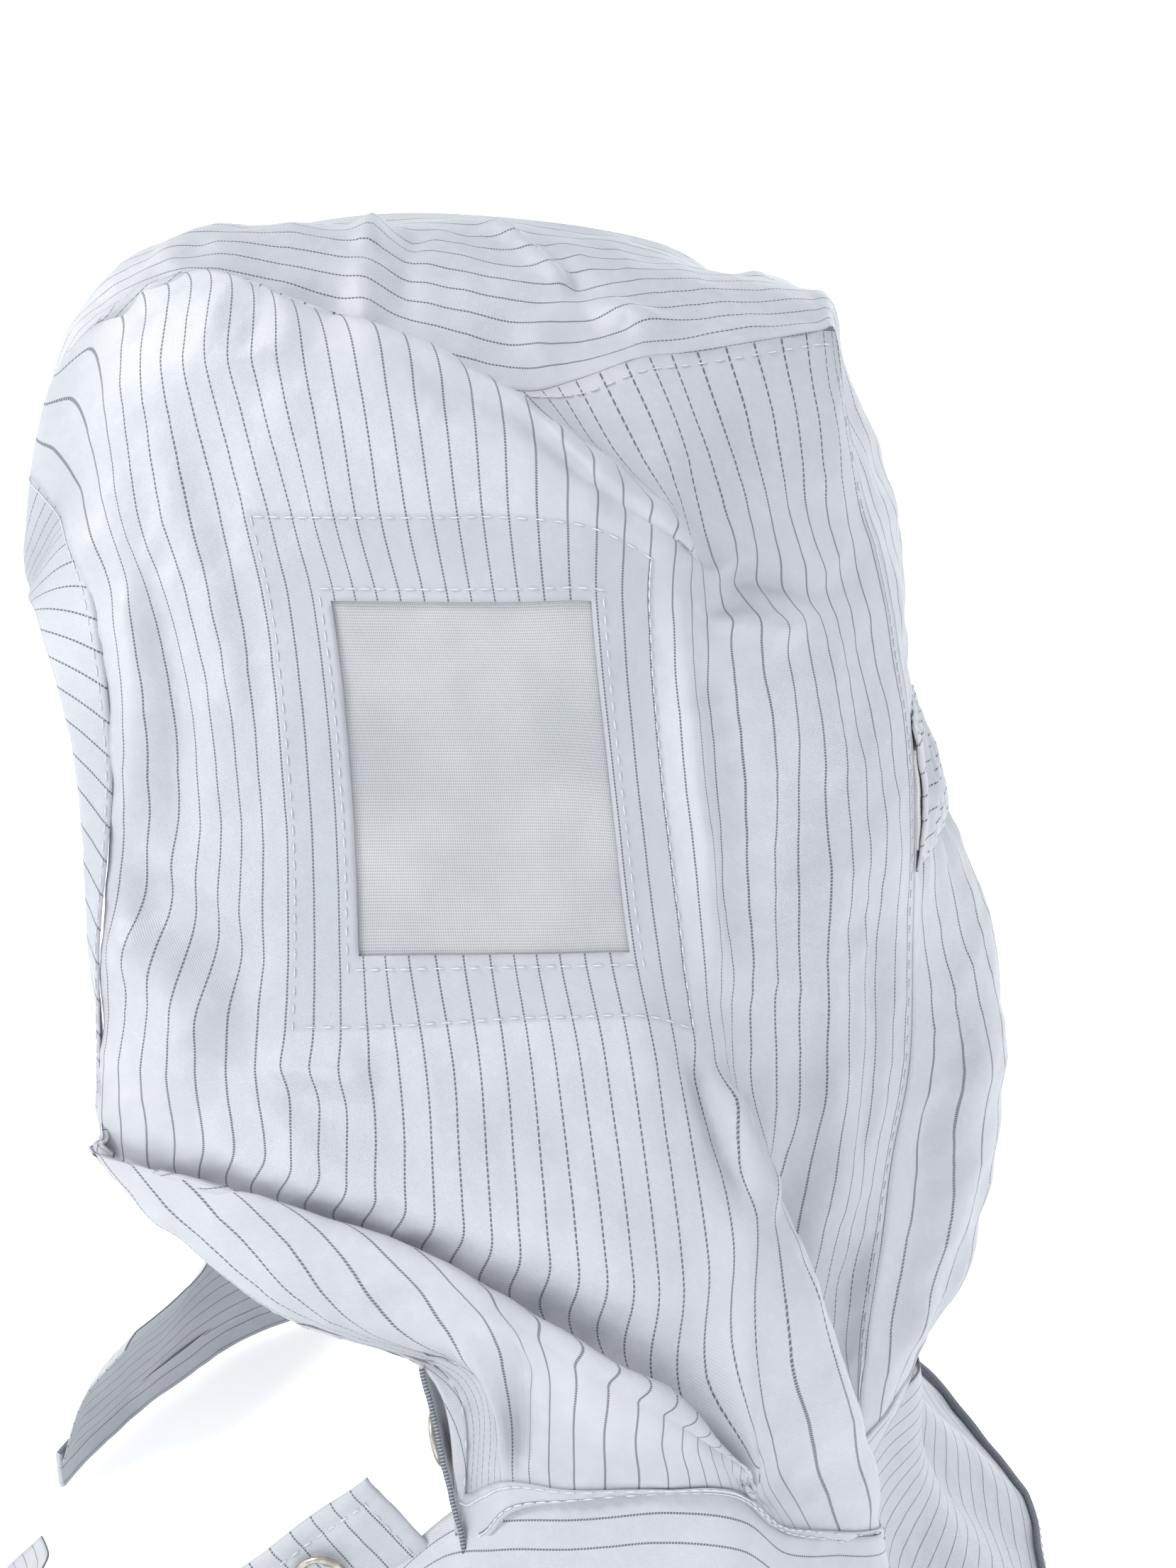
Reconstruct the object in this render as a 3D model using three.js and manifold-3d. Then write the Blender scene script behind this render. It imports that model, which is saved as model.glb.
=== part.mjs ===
// A protective hood of striped anti-static cloth, with mesh ear windows and a short shoulder cape, the shawl.
// It stands on the shawl's hem. Millimetres, +Z up, with the face opening towards -X and the wearer's left
// towards -Y. Each cloth piece is a sheet: a smooth surface through a small net of points, given a thickness.
import * as THREE from "three";
import { mergeVertices } from "three/addons/utils/BufferGeometryUtils.js";
import Module from "manifold-3d";

const wasm = await Module();
wasm.setup();

// ---- Driving dimensions ----
const HOOD_DEPTH = 190; // face opening to the back of the head
const HOOD_BREADTH = 190; // side to side at the neck
const HOOD_HEIGHT = 240; // neck seam to crown
const SHAWL_DROP = 97; // neck seam to the floor that the shawl stands on
const SHAWL_REACH = 39; // how far the shawl's hem stands out in front of the hood and behind it
const SHAWL_SPREAD = 50; // and on either side of it
const SHAWL_SWELL = 4; // how far the shawl swells outwards between the neck and the hem

const CLOTH = 1.6; // thickness of one layer of cloth, with its seam allowance
const MESH = 0.8; // thickness of the window mesh
const LAYER_GAP = 0.4; // between two layers of cloth that lie on each other
const SEAM_GAP = 1.4; // from a seam line to the edge of the cloth on either side of it
const HEM_GAP = 1.1; // between a panel and the hem that carries on from it
const NECK_GAP = 2.8; // from the neck band to the shawl that hangs below it

const WINDOW_WIDTH = 48; // mesh opening, front to back
const WINDOW_HEIGHT = 64; // mesh opening, top to bottom
const WINDOW_TURNING = 5; // how far the mesh runs under the edge of the opening
const FACING_BORDER = 14; // width of the facing round the opening
const WINDOW_ACROSS = 0.545; // middle of the window, as a share of the panel from front to back
const WINDOW_DOWN = 0.43; // middle of the window, as a share of the panel from top to bottom

const HEM_WIDTH = 9; // folded hem round the face opening and under the chin
const PLACKET_MARGIN = 0.2; // cloth on both sides of the snap on the facing along the throat edge
const NECK_BAND = 8; // felled band over the neck seam
const SHAWL_HEM = 10; // hem at the floor
const HEM_CLOTH = 2.4; // thickness of a hem, which is cloth folded over itself

const STRAP_WIDTH = 28; // adjusting strap across the back of the head
const STRAP_PLACE = 0.746; // middle of the strap, as a share of the strip from the forehead to the neck
const STRAP_GAP = 1.1; // between the layers of the strap, which lies loosely on the strip
const ELASTIC_WIDTH = 20;
const ELASTIC = 1.0;

const TAB_START = 0.13; // where it begins, as a share of the left shawl's upper edge
const TAB_WIDTH = 40; // throat tab, along the edge that it is sewn to
const TAB_LENGTH = 28;
const TAB_GAP = 2.5; // from the shawl's edge to the tab, where it folds
const TAB_DROP = 8; // how far below the neckline its sewn edge lies
const TAB_SNAP_INSET = 10.5; // snap centre to the tab's free end
const SNAP_RADIUS = 5.4; // prong ring, outside
const SNAP_WIRE = 0.8; // radius of the ring's rolled rim
const CAP_RADIUS = 5.0; // socket or stud behind the cloth
const CAP_HEIGHT = 2.2;
const SOCKET_RADIUS = 2.1; // the socket's mouth, which the stud presses into
const SOCKET_DEPTH = 1.5;
const STUD_RADIUS = 1.9;
const STUD_HEIGHT = 1.4;
const SNAP_GAP = 0.35; // ring to cloth, and cloth to cap

const FRONT_GAP = 12; // degrees from the middle of the front to the edge of each shawl front
const FRONT_FOLD = 55; // degrees from the middle of the front to the line that each front swings on
const BACK_SEAM_LEFT = 35; // degrees from the middle of the back to the seams of the shawl's back
const BACK_SEAM_RIGHT = 28;
const FOLD_CLEARANCE = 3; // degrees of hem left open at each fold
const FRONT_LIFT = 2; // how far the swinging fronts clear the floor

const GRAIN_STEP = 14; // size of the flat facets a cloth surface is cut into

// ---- Materials ----
const striped = new THREE.MeshStandardMaterial({ color: 0xd9dee6, roughness: 0.62, metalness: 0 });
const meshCloth = new THREE.MeshStandardMaterial({ color: 0xd3d6d8, roughness: 0.7, metalness: 0 });
const elasticCloth = new THREE.MeshStandardMaterial({ color: 0xf0efec, roughness: 0.8, metalness: 0 });
const nickel = new THREE.MeshStandardMaterial({ color: 0xa9a39a, roughness: 0.3, metalness: 1 });

const hood = new THREE.Group();

function add(name, geometry, material) {
  const mesh = new THREE.Mesh(geometry, material);
  mesh.name = name;
  hood.add(mesh);
  return mesh;
}

// ---- Solids ----
function solidOf(geometry) {
  const bare = geometry.clone();
  bare.deleteAttribute("normal");
  bare.deleteAttribute("uv");
  const merged = mergeVertices(bare, 1e-4);
  return new wasm.Manifold(
    new wasm.Mesh({
      numProp: 3,
      vertProperties: new Float32Array(merged.getAttribute("position").array),
      triVerts: new Uint32Array(merged.index.array),
    }),
  );
}

function geometryOf(solid) {
  const mesh = solid.getMesh();
  const geometry = new THREE.BufferGeometry();
  geometry.setAttribute("position", new THREE.BufferAttribute(mesh.vertProperties, 3));
  geometry.setIndex(new THREE.BufferAttribute(mesh.triVerts, 1));
  geometry.computeVertexNormals();
  return geometry;
}

const cut = (geometry, tool) => geometryOf(solidOf(geometry).subtract(solidOf(tool)));

// ---- Surfaces ----
// Evenly spaced values, both ends included.
const spread = (from, to, count) =>
  Array.from({ length: count }, (_, i) => from + ((to - from) * i) / (count - 1));

// A point of the hood: f is the share of the depth behind the middle, s of the breadth towards the right,
// and h of the height above the neck seam.
const at = (f, s, h) => new THREE.Vector3(f * HOOD_DEPTH, s * HOOD_BREADTH, SHAWL_DROP + h * HOOD_HEIGHT);

// The surface through a net of rows of points. u runs along a row, v from the first row to the last.
function netSurface(rows) {
  const lines = rows.map((row) => new THREE.CatmullRomCurve3(row));
  return (u, v) => new THREE.CatmullRomCurve3(lines.map((line) => line.getPoint(u))).getPoint(v);
}

// The part of a surface between u0 and u1, and v0 and v1.
const patch = (surface, u0, u1, v0, v1) => (u, v) => surface(u0 + (u1 - u0) * u, v0 + (v1 - v0) * v);

function lengthAlong(surface, place) {
  const steps = 16;
  let length = 0;
  for (let i = 0; i < steps; i++) {
    length += place(surface, i / steps).distanceTo(place(surface, (i + 1) / steps));
  }
  return length;
}
const acrossOf = (surface, v = 0.5) => lengthAlong(surface, (s, t) => s(t, v));
const downOf = (surface, u = 0.5) => lengthAlong(surface, (s, t) => s(u, t));

function slopes(surface, u, v) {
  const d = 1e-3;
  const u0 = Math.max(0, u - d);
  const u1 = Math.min(1, u + d);
  const v0 = Math.max(0, v - d);
  const v1 = Math.min(1, v + d);
  const du = surface(u1, v).sub(surface(u0, v)).divideScalar(u1 - u0);
  const dv = surface(u, v1).sub(surface(u, v0)).divideScalar(v1 - v0);
  return { du, dv };
}

// The unit normal on the side from which u runs right and v runs down.
function normalAt(surface, u, v) {
  const { du, dv } = slopes(surface, u, v);
  return dv.cross(du).normalize();
}

// A surface moved along its own normal.
const lifted = (surface, height) => (u, v) =>
  surface(u, v).addScaledVector(normalAt(surface, u, v), height);

// A sheet of cloth: a thin box bent onto the surface, so that it is closed all round. Its columns of facets
// are evenly spaced, or stand at the stations given.
function sheet(surface, thickness, stations = null, normal = null) {
  const width = Math.max(acrossOf(surface, 0), acrossOf(surface, 1));
  const length = Math.max(downOf(surface, 0), downOf(surface, 1));
  const across = stations ? stations.length - 1 : Math.max(1, Math.round(width / GRAIN_STEP));
  const down = Math.max(1, Math.round(length / GRAIN_STEP));
  const geometry = new THREE.BoxGeometry(1, 1, 1, across, down, 1);
  const place = geometry.getAttribute("position");
  for (let i = 0; i < place.count; i++) {
    const column = place.getX(i) + 0.5;
    const u = stations ? stations[Math.round(column * across)] : column;
    const v = 0.5 - place.getY(i);
    const outward = normal ? normal(u, v) : normalAt(surface, u, v);
    const point = surface(u, v).addScaledVector(outward, place.getZ(i) * thickness);
    place.setXYZ(i, point.x, point.y, point.z);
  }
  return geometry;
}

// ---- Seam lines ----
// The two seams of the centre strip, from the forehead over the crown and down the back to the neck.
const points = (...places) => places.map(([f, s, h]) => at(f, s, h));
const leftSeam = points(
  [-0.5, -0.26, 0.717],
  [-0.475, -0.23, 0.85],
  [-0.38, -0.22, 0.93],
  [-0.185, -0.225, 0.9],
  [0.01, -0.237, 0.86],
  [0.184, -0.2, 0.87],
  [0.326, -0.14, 0.895],
  [0.395, -0.165, 0.76],
  [0.426, -0.2, 0.588],
  [0.42, -0.21, 0.333],
  [0.4, -0.27, 0.08],
  [0.384, -0.316, -0.09],
);
const rightSeam = points(
  [-0.5, 0.0, 0.725],
  [-0.47, -0.005, 0.875],
  [-0.36, -0.03, 0.965],
  [-0.18, -0.04, 1.0],
  [0.01, -0.02, 0.998],
  [0.17, 0.0, 0.975],
  [0.316, 0.12, 0.895],
  [0.4, 0.1, 0.765],
  [0.44, 0.095, 0.588],
  [0.46, 0.11, 0.333],
  [0.465, 0.12, 0.08],
  [0.45, 0.12, -0.09],
);
// How far the middle of the strip stands out behind the seams, as shares of the depth: up and to the left
// over the crown, and backwards below it.
const stripBulge = [0.02, 0.02, 0.02, 0.02, 0.015, 0.02, 0.04, 0.05, 0.045, 0.1, 0.1, 0.05];
const CROWN_STATIONS = 6;
const stripMiddle = leftSeam.map((p, i) => {
  const outward = i < CROWN_STATIONS ? new THREE.Vector3(0, -0.35, 1) : new THREE.Vector3(1, 0, 0);
  return p.clone().lerp(rightSeam[i], 0.5).addScaledVector(outward, stripBulge[i] * HOOD_DEPTH);
});

// Nets of the side panels: columns from the face opening to the back seam, rows from the top to the bottom.
const beforeCorner = (seam) => seam[5].clone().lerp(seam[6], 0.72);
const leftColumns = [
  [
    leftSeam[0],
    ...points(
      [-0.49, -0.285, 0.64],
      [-0.463, -0.33, 0.49],
      [-0.426, -0.37, 0.34],
      [-0.41, -0.42, 0.254],
    ),
  ],
  [
    leftSeam[1],
    ...points(
      [-0.462, -0.295, 0.72],
      [-0.42, -0.35, 0.505],
      [-0.38, -0.39, 0.31],
      [-0.367, -0.435, 0.214],
    ),
  ],
  [
    leftSeam[2],
    ...points(
      [-0.4, -0.305, 0.78],
      [-0.347, -0.36, 0.52],
      [-0.305, -0.4, 0.283],
      [-0.295, -0.45, 0.16],
    ),
  ],
  [
    leftSeam[3],
    ...points(
      [-0.2, -0.326, 0.76],
      [-0.18, -0.38, 0.513],
      [-0.147, -0.42, 0.24],
      [-0.06, -0.515, 0.11],
    ),
  ],
  [
    leftSeam[4],
    ...points(
      [0, -0.326, 0.73],
      [0, -0.4, 0.49],
      [0.02, -0.45, 0.22],
      [-0.02, -0.58, 0],
    ),
  ],
  [
    leftSeam[5],
    ...points(
      [0.19, -0.295, 0.713],
      [0.2, -0.39, 0.47],
      [0.21, -0.46, 0.22],
      [0.19, -0.62, 0.02],
    ),
  ],
  [
    beforeCorner(leftSeam),
    ...points(
      [0.325, -0.25, 0.7],
      [0.347, -0.315, 0.47],
      [0.337, -0.37, 0.22],
      [0.326, -0.5, -0.06],
    ),
  ],
  [
    leftSeam[6],
    ...points(
      [0.416, -0.184, 0.66],
      [0.427, -0.205, 0.45],
      [0.416, -0.226, 0.22],
    ),
    leftSeam[11],
  ],
];
const rightColumns = [
  [
    rightSeam[0],
    ...points(
      [-0.49, 0.13, 0.617],
      [-0.453, 0.22, 0.47],
      [-0.42, 0.285, 0.325],
      [-0.4, 0.326, 0.22],
    ),
  ],
  [
    rightSeam[1],
    ...points(
      [-0.455, 0.13, 0.72],
      [-0.415, 0.25, 0.495],
      [-0.375, 0.31, 0.305],
      [-0.355, 0.35, 0.19],
    ),
  ],
  [
    rightSeam[2],
    ...points(
      [-0.39, 0.16, 0.8],
      [-0.347, 0.285, 0.52],
      [-0.305, 0.337, 0.283],
      [-0.285, 0.38, 0.146],
    ),
  ],
  [
    rightSeam[3],
    ...points(
      [-0.2, 0.2, 0.81],
      [-0.18, 0.337, 0.52],
      [-0.147, 0.39, 0.24],
      [-0.065, 0.442, 0.096],
    ),
  ],
  [
    rightSeam[4],
    ...points(
      [0, 0.22, 0.8],
      [0, 0.368, 0.504],
      [0.01, 0.42, 0.22],
      [-0.03, 0.474, 0],
    ),
  ],
  [
    rightSeam[5],
    ...points(
      [0.18, 0.22, 0.78],
      [0.2, 0.358, 0.487],
      [0.21, 0.42, 0.22],
      [0.19, 0.516, 0.004],
    ),
  ],
  [
    beforeCorner(rightSeam),
    ...points(
      [0.326, 0.2, 0.72],
      [0.358, 0.284, 0.48],
      [0.347, 0.347, 0.22],
      [0.337, 0.442, -0.054],
    ),
  ],
  [
    rightSeam[6],
    ...points(
      [0.416, 0.11, 0.66],
      [0.445, 0.105, 0.45],
      [0.464, 0.12, 0.2],
    ),
    rightSeam[11],
  ],
];
const rowsOf = (columns) => columns[0].map((_, row) => columns.map((column) => column[row]));
const leftPanel = netSurface(rowsOf(leftColumns));
const rightPanel = netSurface(rowsOf(rightColumns));
const centreStrip = netSurface([rightSeam, stripMiddle, leftSeam]);

// Share of a surface that a length takes up, measured across it or down it.
const shareAcross = (surface, length) => length / acrossOf(surface);
const shareDown = (surface, length) => length / downOf(surface);

// ---- Side panels, windows, hems and throat edges ----
// Down a side panel's bottom edge, the chin hem ends and the throat edge begins at one column of its net,
// and the neck seam begins at the next.
const CHIN_END = 3 / 7;
const NECK_START = 4 / 7;
const PUNCH = 16; // thickness of the tool that cuts the windows

function sidePanel(side, surface, inward) {
  const across = (length) => shareAcross(surface, length);
  const down = (length) => shareDown(surface, length);
  const hem = across(HEM_WIDTH);
  const hemGap = across(HEM_GAP);
  const top = down(SEAM_GAP);
  const chin = 1 - down(HEM_WIDTH);
  const neck = 1 - down(NECK_BAND);
  const lowGap = down(HEM_GAP);

  const { du, dv } = slopes(surface, WINDOW_ACROSS, WINDOW_DOWN);
  const frame = (border) => {
    const half = (WINDOW_WIDTH / 2 + border) / du.length();
    const tall = (WINDOW_HEIGHT / 2 + border) / dv.length();
    return patch(
      surface,
      WINDOW_ACROSS - half,
      WINDOW_ACROSS + half,
      WINDOW_DOWN - tall,
      WINDOW_DOWN + tall,
    );
  };
  // The panel's bottom edge is higher over the chin hem and the neck band than at the throat between them.
  const chinStations = spread(hem + hemGap, CHIN_END, 6);
  const throatStations = spread(CHIN_END + 2 * hemGap, NECK_START - 2 * hemGap, 4);
  const neckStations = spread(NECK_START, 1 - 1.4 * across(SEAM_GAP), 9);
  const stations = [...chinStations, ...throatStations, ...neckStations];
  const bottom = (u) => {
    if (u < CHIN_END + hemGap) return chin - lowGap;
    return u > NECK_START - hemGap ? neck - lowGap : 1 - lowGap;
  };
  const shape = (u, v) => surface(u, top + (bottom(u) - top) * v);
  const onSurface = (u, v) => normalAt(surface, u, top + (bottom(u) - top) * v);
  const panel = sheet(shape, CLOTH, stations, onSurface);
  const windowPunch = sheet(frame(0), PUNCH);

  const meshDepth = CLOTH / 2 + LAYER_GAP + MESH / 2;
  const facingDepth = meshDepth + MESH / 2 + LAYER_GAP + CLOTH / 2;
  const facing = sheet(lifted(frame(FACING_BORDER), inward * facingDepth), CLOTH);
  add(side + "_side_panel", cut(panel, windowPunch), striped);
  add(side + "_window_mesh", sheet(lifted(frame(WINDOW_TURNING), inward * meshDepth), MESH), meshCloth);
  add(side + "_window_facing", cut(facing, windowPunch), striped);
  add(side + "_face_hem", sheet(patch(surface, 0, hem, top, 1), HEM_CLOTH), striped);
  const border = (low) => (u, v) => surface(u, low + (1 - low) * v);
  const chinPlaces = [...chinStations.slice(0, -1), CHIN_END - hemGap];
  const neckPlaces = [NECK_START + hemGap, ...neckStations.slice(1)];
  add(side + "_chin_hem", sheet(border(chin), HEM_CLOTH, chinPlaces), striped);
  add(side + "_neck_band", sheet(border(neck), HEM_CLOTH, neckPlaces), striped);

  // The placket is turned in from the throat edge, so that it faces forwards.
  const turn = new THREE.Vector3(0, inward === -1 ? 1 : -1, 0);
  const edge = (share) =>
    surface(CHIN_END + (NECK_START - CHIN_END) * share, 1).add(new THREE.Vector3(-2.9 * SEAM_GAP, 0, 0));
  const placketWidth = 2 * SNAP_RADIUS + PLACKET_MARGIN;
  const placketTop = edge(0.12);
  const placketEnd = edge(0.86);
  const placketAt = (depth, v) =>
    placketTop.clone().lerp(placketEnd, v).addScaledVector(turn, SEAM_GAP + depth);
  const placket =
    side === "left"
      ? (u, v) => placketAt(placketWidth * (1 - u), v)
      : (u, v) => placketAt(placketWidth * u, v);
  add(side + "_placket", sheet(placket, HEM_CLOTH), striped);
  return { placket };
}
const left = sidePanel("left", leftPanel, -1);
sidePanel("right", rightPanel, 1);

// ---- Centre strip, with the adjusting strap across it ----
const stripGap = shareDown(centreStrip, SEAM_GAP);
const alongStrip = (length) => shareAcross(centreStrip, length);
const stripPiece = (from, to) => patch(centreStrip, from, to, stripGap, 1 - stripGap);
const stripHem = alongStrip(HEM_WIDTH);
const stripNeck = 1 - alongStrip(NECK_BAND);
const endGap = alongStrip(HEM_GAP);
add("centre_strip", sheet(stripPiece(stripHem + endGap, stripNeck - endGap), CLOTH), striped);
add("top_face_hem", sheet(stripPiece(0, stripHem), HEM_CLOTH), striped);
add("back_neck_band", sheet(stripPiece(stripNeck, 1), HEM_CLOTH), striped);

const elasticHeight = CLOTH / 2 + STRAP_GAP + ELASTIC / 2;
const casingHeight = elasticHeight + ELASTIC / 2 + STRAP_GAP + CLOTH / 2;
const strapPiece = (width, height) =>
  lifted(stripPiece(STRAP_PLACE - alongStrip(width / 2), STRAP_PLACE + alongStrip(width / 2)), height);
add("back_elastic", sheet(strapPiece(ELASTIC_WIDTH, elasticHeight), ELASTIC), elasticCloth);
add("back_casing", sheet(strapPiece(STRAP_WIDTH, casingHeight), CLOTH), striped);

// ---- Shawl ----
// The hem is an oval on the floor. Angles are in degrees from the middle of the back, positive to the right.
const radians = THREE.MathUtils.degToRad;
const hemDepth = HOOD_DEPTH / 2 + SHAWL_REACH;
const hemBreadth = HOOD_BREADTH / 2 + SHAWL_SPREAD;
const hemMiddle = (-hemDepth * (1 - Math.cos(radians(FRONT_GAP)))) / 2;

function hemPoint(angle, z, inset = 0) {
  const a = radians(angle);
  return new THREE.Vector3(
    hemMiddle + (hemDepth - inset) * Math.cos(a),
    (hemBreadth - inset) * Math.sin(a),
    z,
  );
}

// A strip of hem that stands on the floor, between two angles.
function hemStrip(from, to, low) {
  const steps = Math.max(4, Math.round(Math.abs(to - from) / 7.5));
  const outline = new THREE.Shape();
  for (let i = 0; i <= steps; i++) {
    const p = hemPoint(from + ((to - from) * i) / steps, 0);
    if (i === 0) outline.moveTo(p.x, p.y);
    else outline.lineTo(p.x, p.y);
  }
  for (let i = steps; i >= 0; i--) {
    const p = hemPoint(from + ((to - from) * i) / steps, 0, HEM_CLOTH);
    outline.lineTo(p.x, p.y);
  }
  outline.closePath();
  const strip = new THREE.ExtrudeGeometry(outline, { depth: SHAWL_HEM - low, bevelEnabled: false });
  strip.translate(0, 0, low);
  return strip;
}

// A shawl panel hangs from a row of points at its top to the hem, and swells a little between.
function shawlPanel(topRow, angles, low) {
  const bottomRow = angles.map((angle) => hemPoint(angle, SHAWL_HEM + HEM_GAP, HEM_CLOTH / 2));
  const middleRow = topRow.map((point, i) => {
    const swell = new THREE.Vector3(Math.cos(radians(angles[i])), Math.sin(radians(angles[i])), 0);
    return point.clone().lerp(bottomRow[i], 0.45).addScaledVector(swell, SHAWL_SWELL);
  });
  return netSurface([topRow, middleRow, bottomRow]);
}
const under = (point) => point.clone().add(new THREE.Vector3(0, 0, -NECK_GAP));

// Where the V of the neckline comes down to the fold of each front, and to its front edge.
const onShawl = (f, s, drop) => new THREE.Vector3(f * HOOD_DEPTH, s * HOOD_BREADTH, drop * SHAWL_DROP);
const necklineFold = (side) => onShawl(-0.305, side * 0.6, 0.66);
const necklineFront = (side) => onShawl(-0.6, side * 0.2, 0.42);

const leftNeck = spread(NECK_START, 1, 7).map((u) => under(leftPanel(u, 1)));
const rightNeck = spread(1, NECK_START, 7).map((u) => under(rightPanel(u, 1)));
const backNeck = spread(1, 0, 5).map((v) => under(centreStrip(1, v)));
const fold = 180 - FRONT_FOLD;
const edge = 180 - FRONT_GAP;
const leftWing = shawlPanel([necklineFold(-1), ...leftNeck], spread(-fold, -BACK_SEAM_LEFT, 8));
const rightWing = shawlPanel([...rightNeck, necklineFold(1)], spread(BACK_SEAM_RIGHT, fold, 8));
const shawlBack = shawlPanel(backNeck, spread(-BACK_SEAM_LEFT, BACK_SEAM_RIGHT, 5));
const frontRow = (side) => [necklineFold(side), onShawl(-0.4925, side * 0.46, 0.52), necklineFront(side)];
const leftFront = shawlPanel(frontRow(-1).reverse(), spread(-edge, -fold, 3));
const rightFront = shawlPanel(frontRow(1), spread(fold, edge, 3));

function shawlPiece(name, surface) {
  const side = shareAcross(surface, SEAM_GAP);
  add(name, sheet(patch(surface, side, 1 - side, 0, 1), CLOTH), striped);
}
shawlPiece("shawl_left", leftWing);
shawlPiece("shawl_back", shawlBack);
shawlPiece("shawl_right", rightWing);
shawlPiece("shawl_front_left", leftFront);
shawlPiece("shawl_front_right", rightFront);
const foldGap = FOLD_CLEARANCE / 2;
add("shawl_hem", hemStrip(-fold + foldGap, fold - foldGap, 0), striped);
add("front_hem_left", hemStrip(-edge, -fold - foldGap, FRONT_LIFT), striped);
add("front_hem_right", hemStrip(fold + foldGap, edge, FRONT_LIFT), striped);

// ---- Throat tab ----
// It is sewn along the left edge of the neckline, and stands up from it.
const tabCorner = leftWing(TAB_START, 0).add(new THREE.Vector3(0, TAB_GAP, -TAB_DROP));
const tabAlong = new THREE.Vector3(-0.78, 0, -0.625).normalize();
const tabUp = new THREE.Vector3(0, 1, 0).cross(tabAlong).normalize();
const tabSurface = (u, v) =>
  tabCorner
    .clone()
    .addScaledVector(tabAlong, TAB_WIDTH * (1 - u))
    .addScaledVector(tabUp, TAB_GAP + TAB_LENGTH * (1 - v));
add("throat_tab", sheet(tabSurface, HEM_CLOTH), striped);

// ---- Snaps ----
// Each half is a prong ring on the face of the cloth, and a socket or a stud clinched to it behind.
function turned(profile) {
  const points = profile.map(([r, z]) => new THREE.Vector2(r, z));
  const geometry = new THREE.LatheGeometry(points, 24);
  return geometry.rotateX(Math.PI / 2);
}

function seat(geometry, surface, u, v, flip) {
  const normal = normalAt(surface, u, v);
  const turn = new THREE.Quaternion().setFromUnitVectors(
    new THREE.Vector3(0, 0, 1),
    normal.clone().multiplyScalar(flip),
  );
  const place = surface(u, v);
  return geometry.applyQuaternion(turn).translate(place.x, place.y, place.z);
}

function snapRing(base) {
  const middle = base + SNAP_WIRE;
  const rim = spread(360, 0, 9).map((angle) => [
    SNAP_RADIUS - SNAP_WIRE - SNAP_WIRE * Math.cos(radians(angle)),
    middle + SNAP_WIRE * Math.sin(radians(angle)),
  ]);
  return turned(rim);
}

const snapSocket = (base) =>
  turned([
    [0, base],
    [CAP_RADIUS, base],
    [CAP_RADIUS, base + CAP_HEIGHT],
    [SOCKET_RADIUS, base + CAP_HEIGHT],
    [SOCKET_RADIUS, base + CAP_HEIGHT - SOCKET_DEPTH],
    [0, base + CAP_HEIGHT - SOCKET_DEPTH],
  ]);

const snapStud = (base) =>
  turned([
    [0, base],
    [CAP_RADIUS, base],
    [CAP_RADIUS, base + CAP_HEIGHT / 2],
    [STUD_RADIUS, base + CAP_HEIGHT / 2],
    [STUD_RADIUS, base + CAP_HEIGHT / 2 + STUD_HEIGHT],
    [0, base + CAP_HEIGHT / 2 + STUD_HEIGHT],
  ]);

const hemFace = HEM_CLOTH / 2 + SNAP_GAP;
const tabSnapDown = TAB_SNAP_INSET / TAB_LENGTH;
add("tab_snap_ring", seat(snapRing(hemFace), tabSurface, 0.5, tabSnapDown, 1), nickel);
add("tab_snap_socket", seat(snapSocket(hemFace), tabSurface, 0.5, tabSnapDown, -1), nickel);
add("placket_snap_ring", seat(snapRing(hemFace), left.placket, 0.5, 0.5, 1), nickel);
add("placket_snap_stud", seat(snapStud(hemFace), left.placket, 0.5, 0.5, -1), nickel);

export default hood;
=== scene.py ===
# %% [markdown]
# # A protective hood of striped cloth
# The hood is limp: two side panels and a strip over the crown are sewn together, a mesh window sits over the ear,
# the face opening is hemmed, and a short shawl hangs below the neck. Limp cloth could be simulated, but its folds
# then fall where they like. Here each panel is drawn as a net of its own grain lines instead, so that a fold lies
# where the maker puts it and the woven stripes follow it. Everything is in metres, in the CAD model's frame.

# %% The frame and the tools
import math

import bmesh
import bpy
import numpy as np
from mathutils import Matrix, Vector, noise


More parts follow.
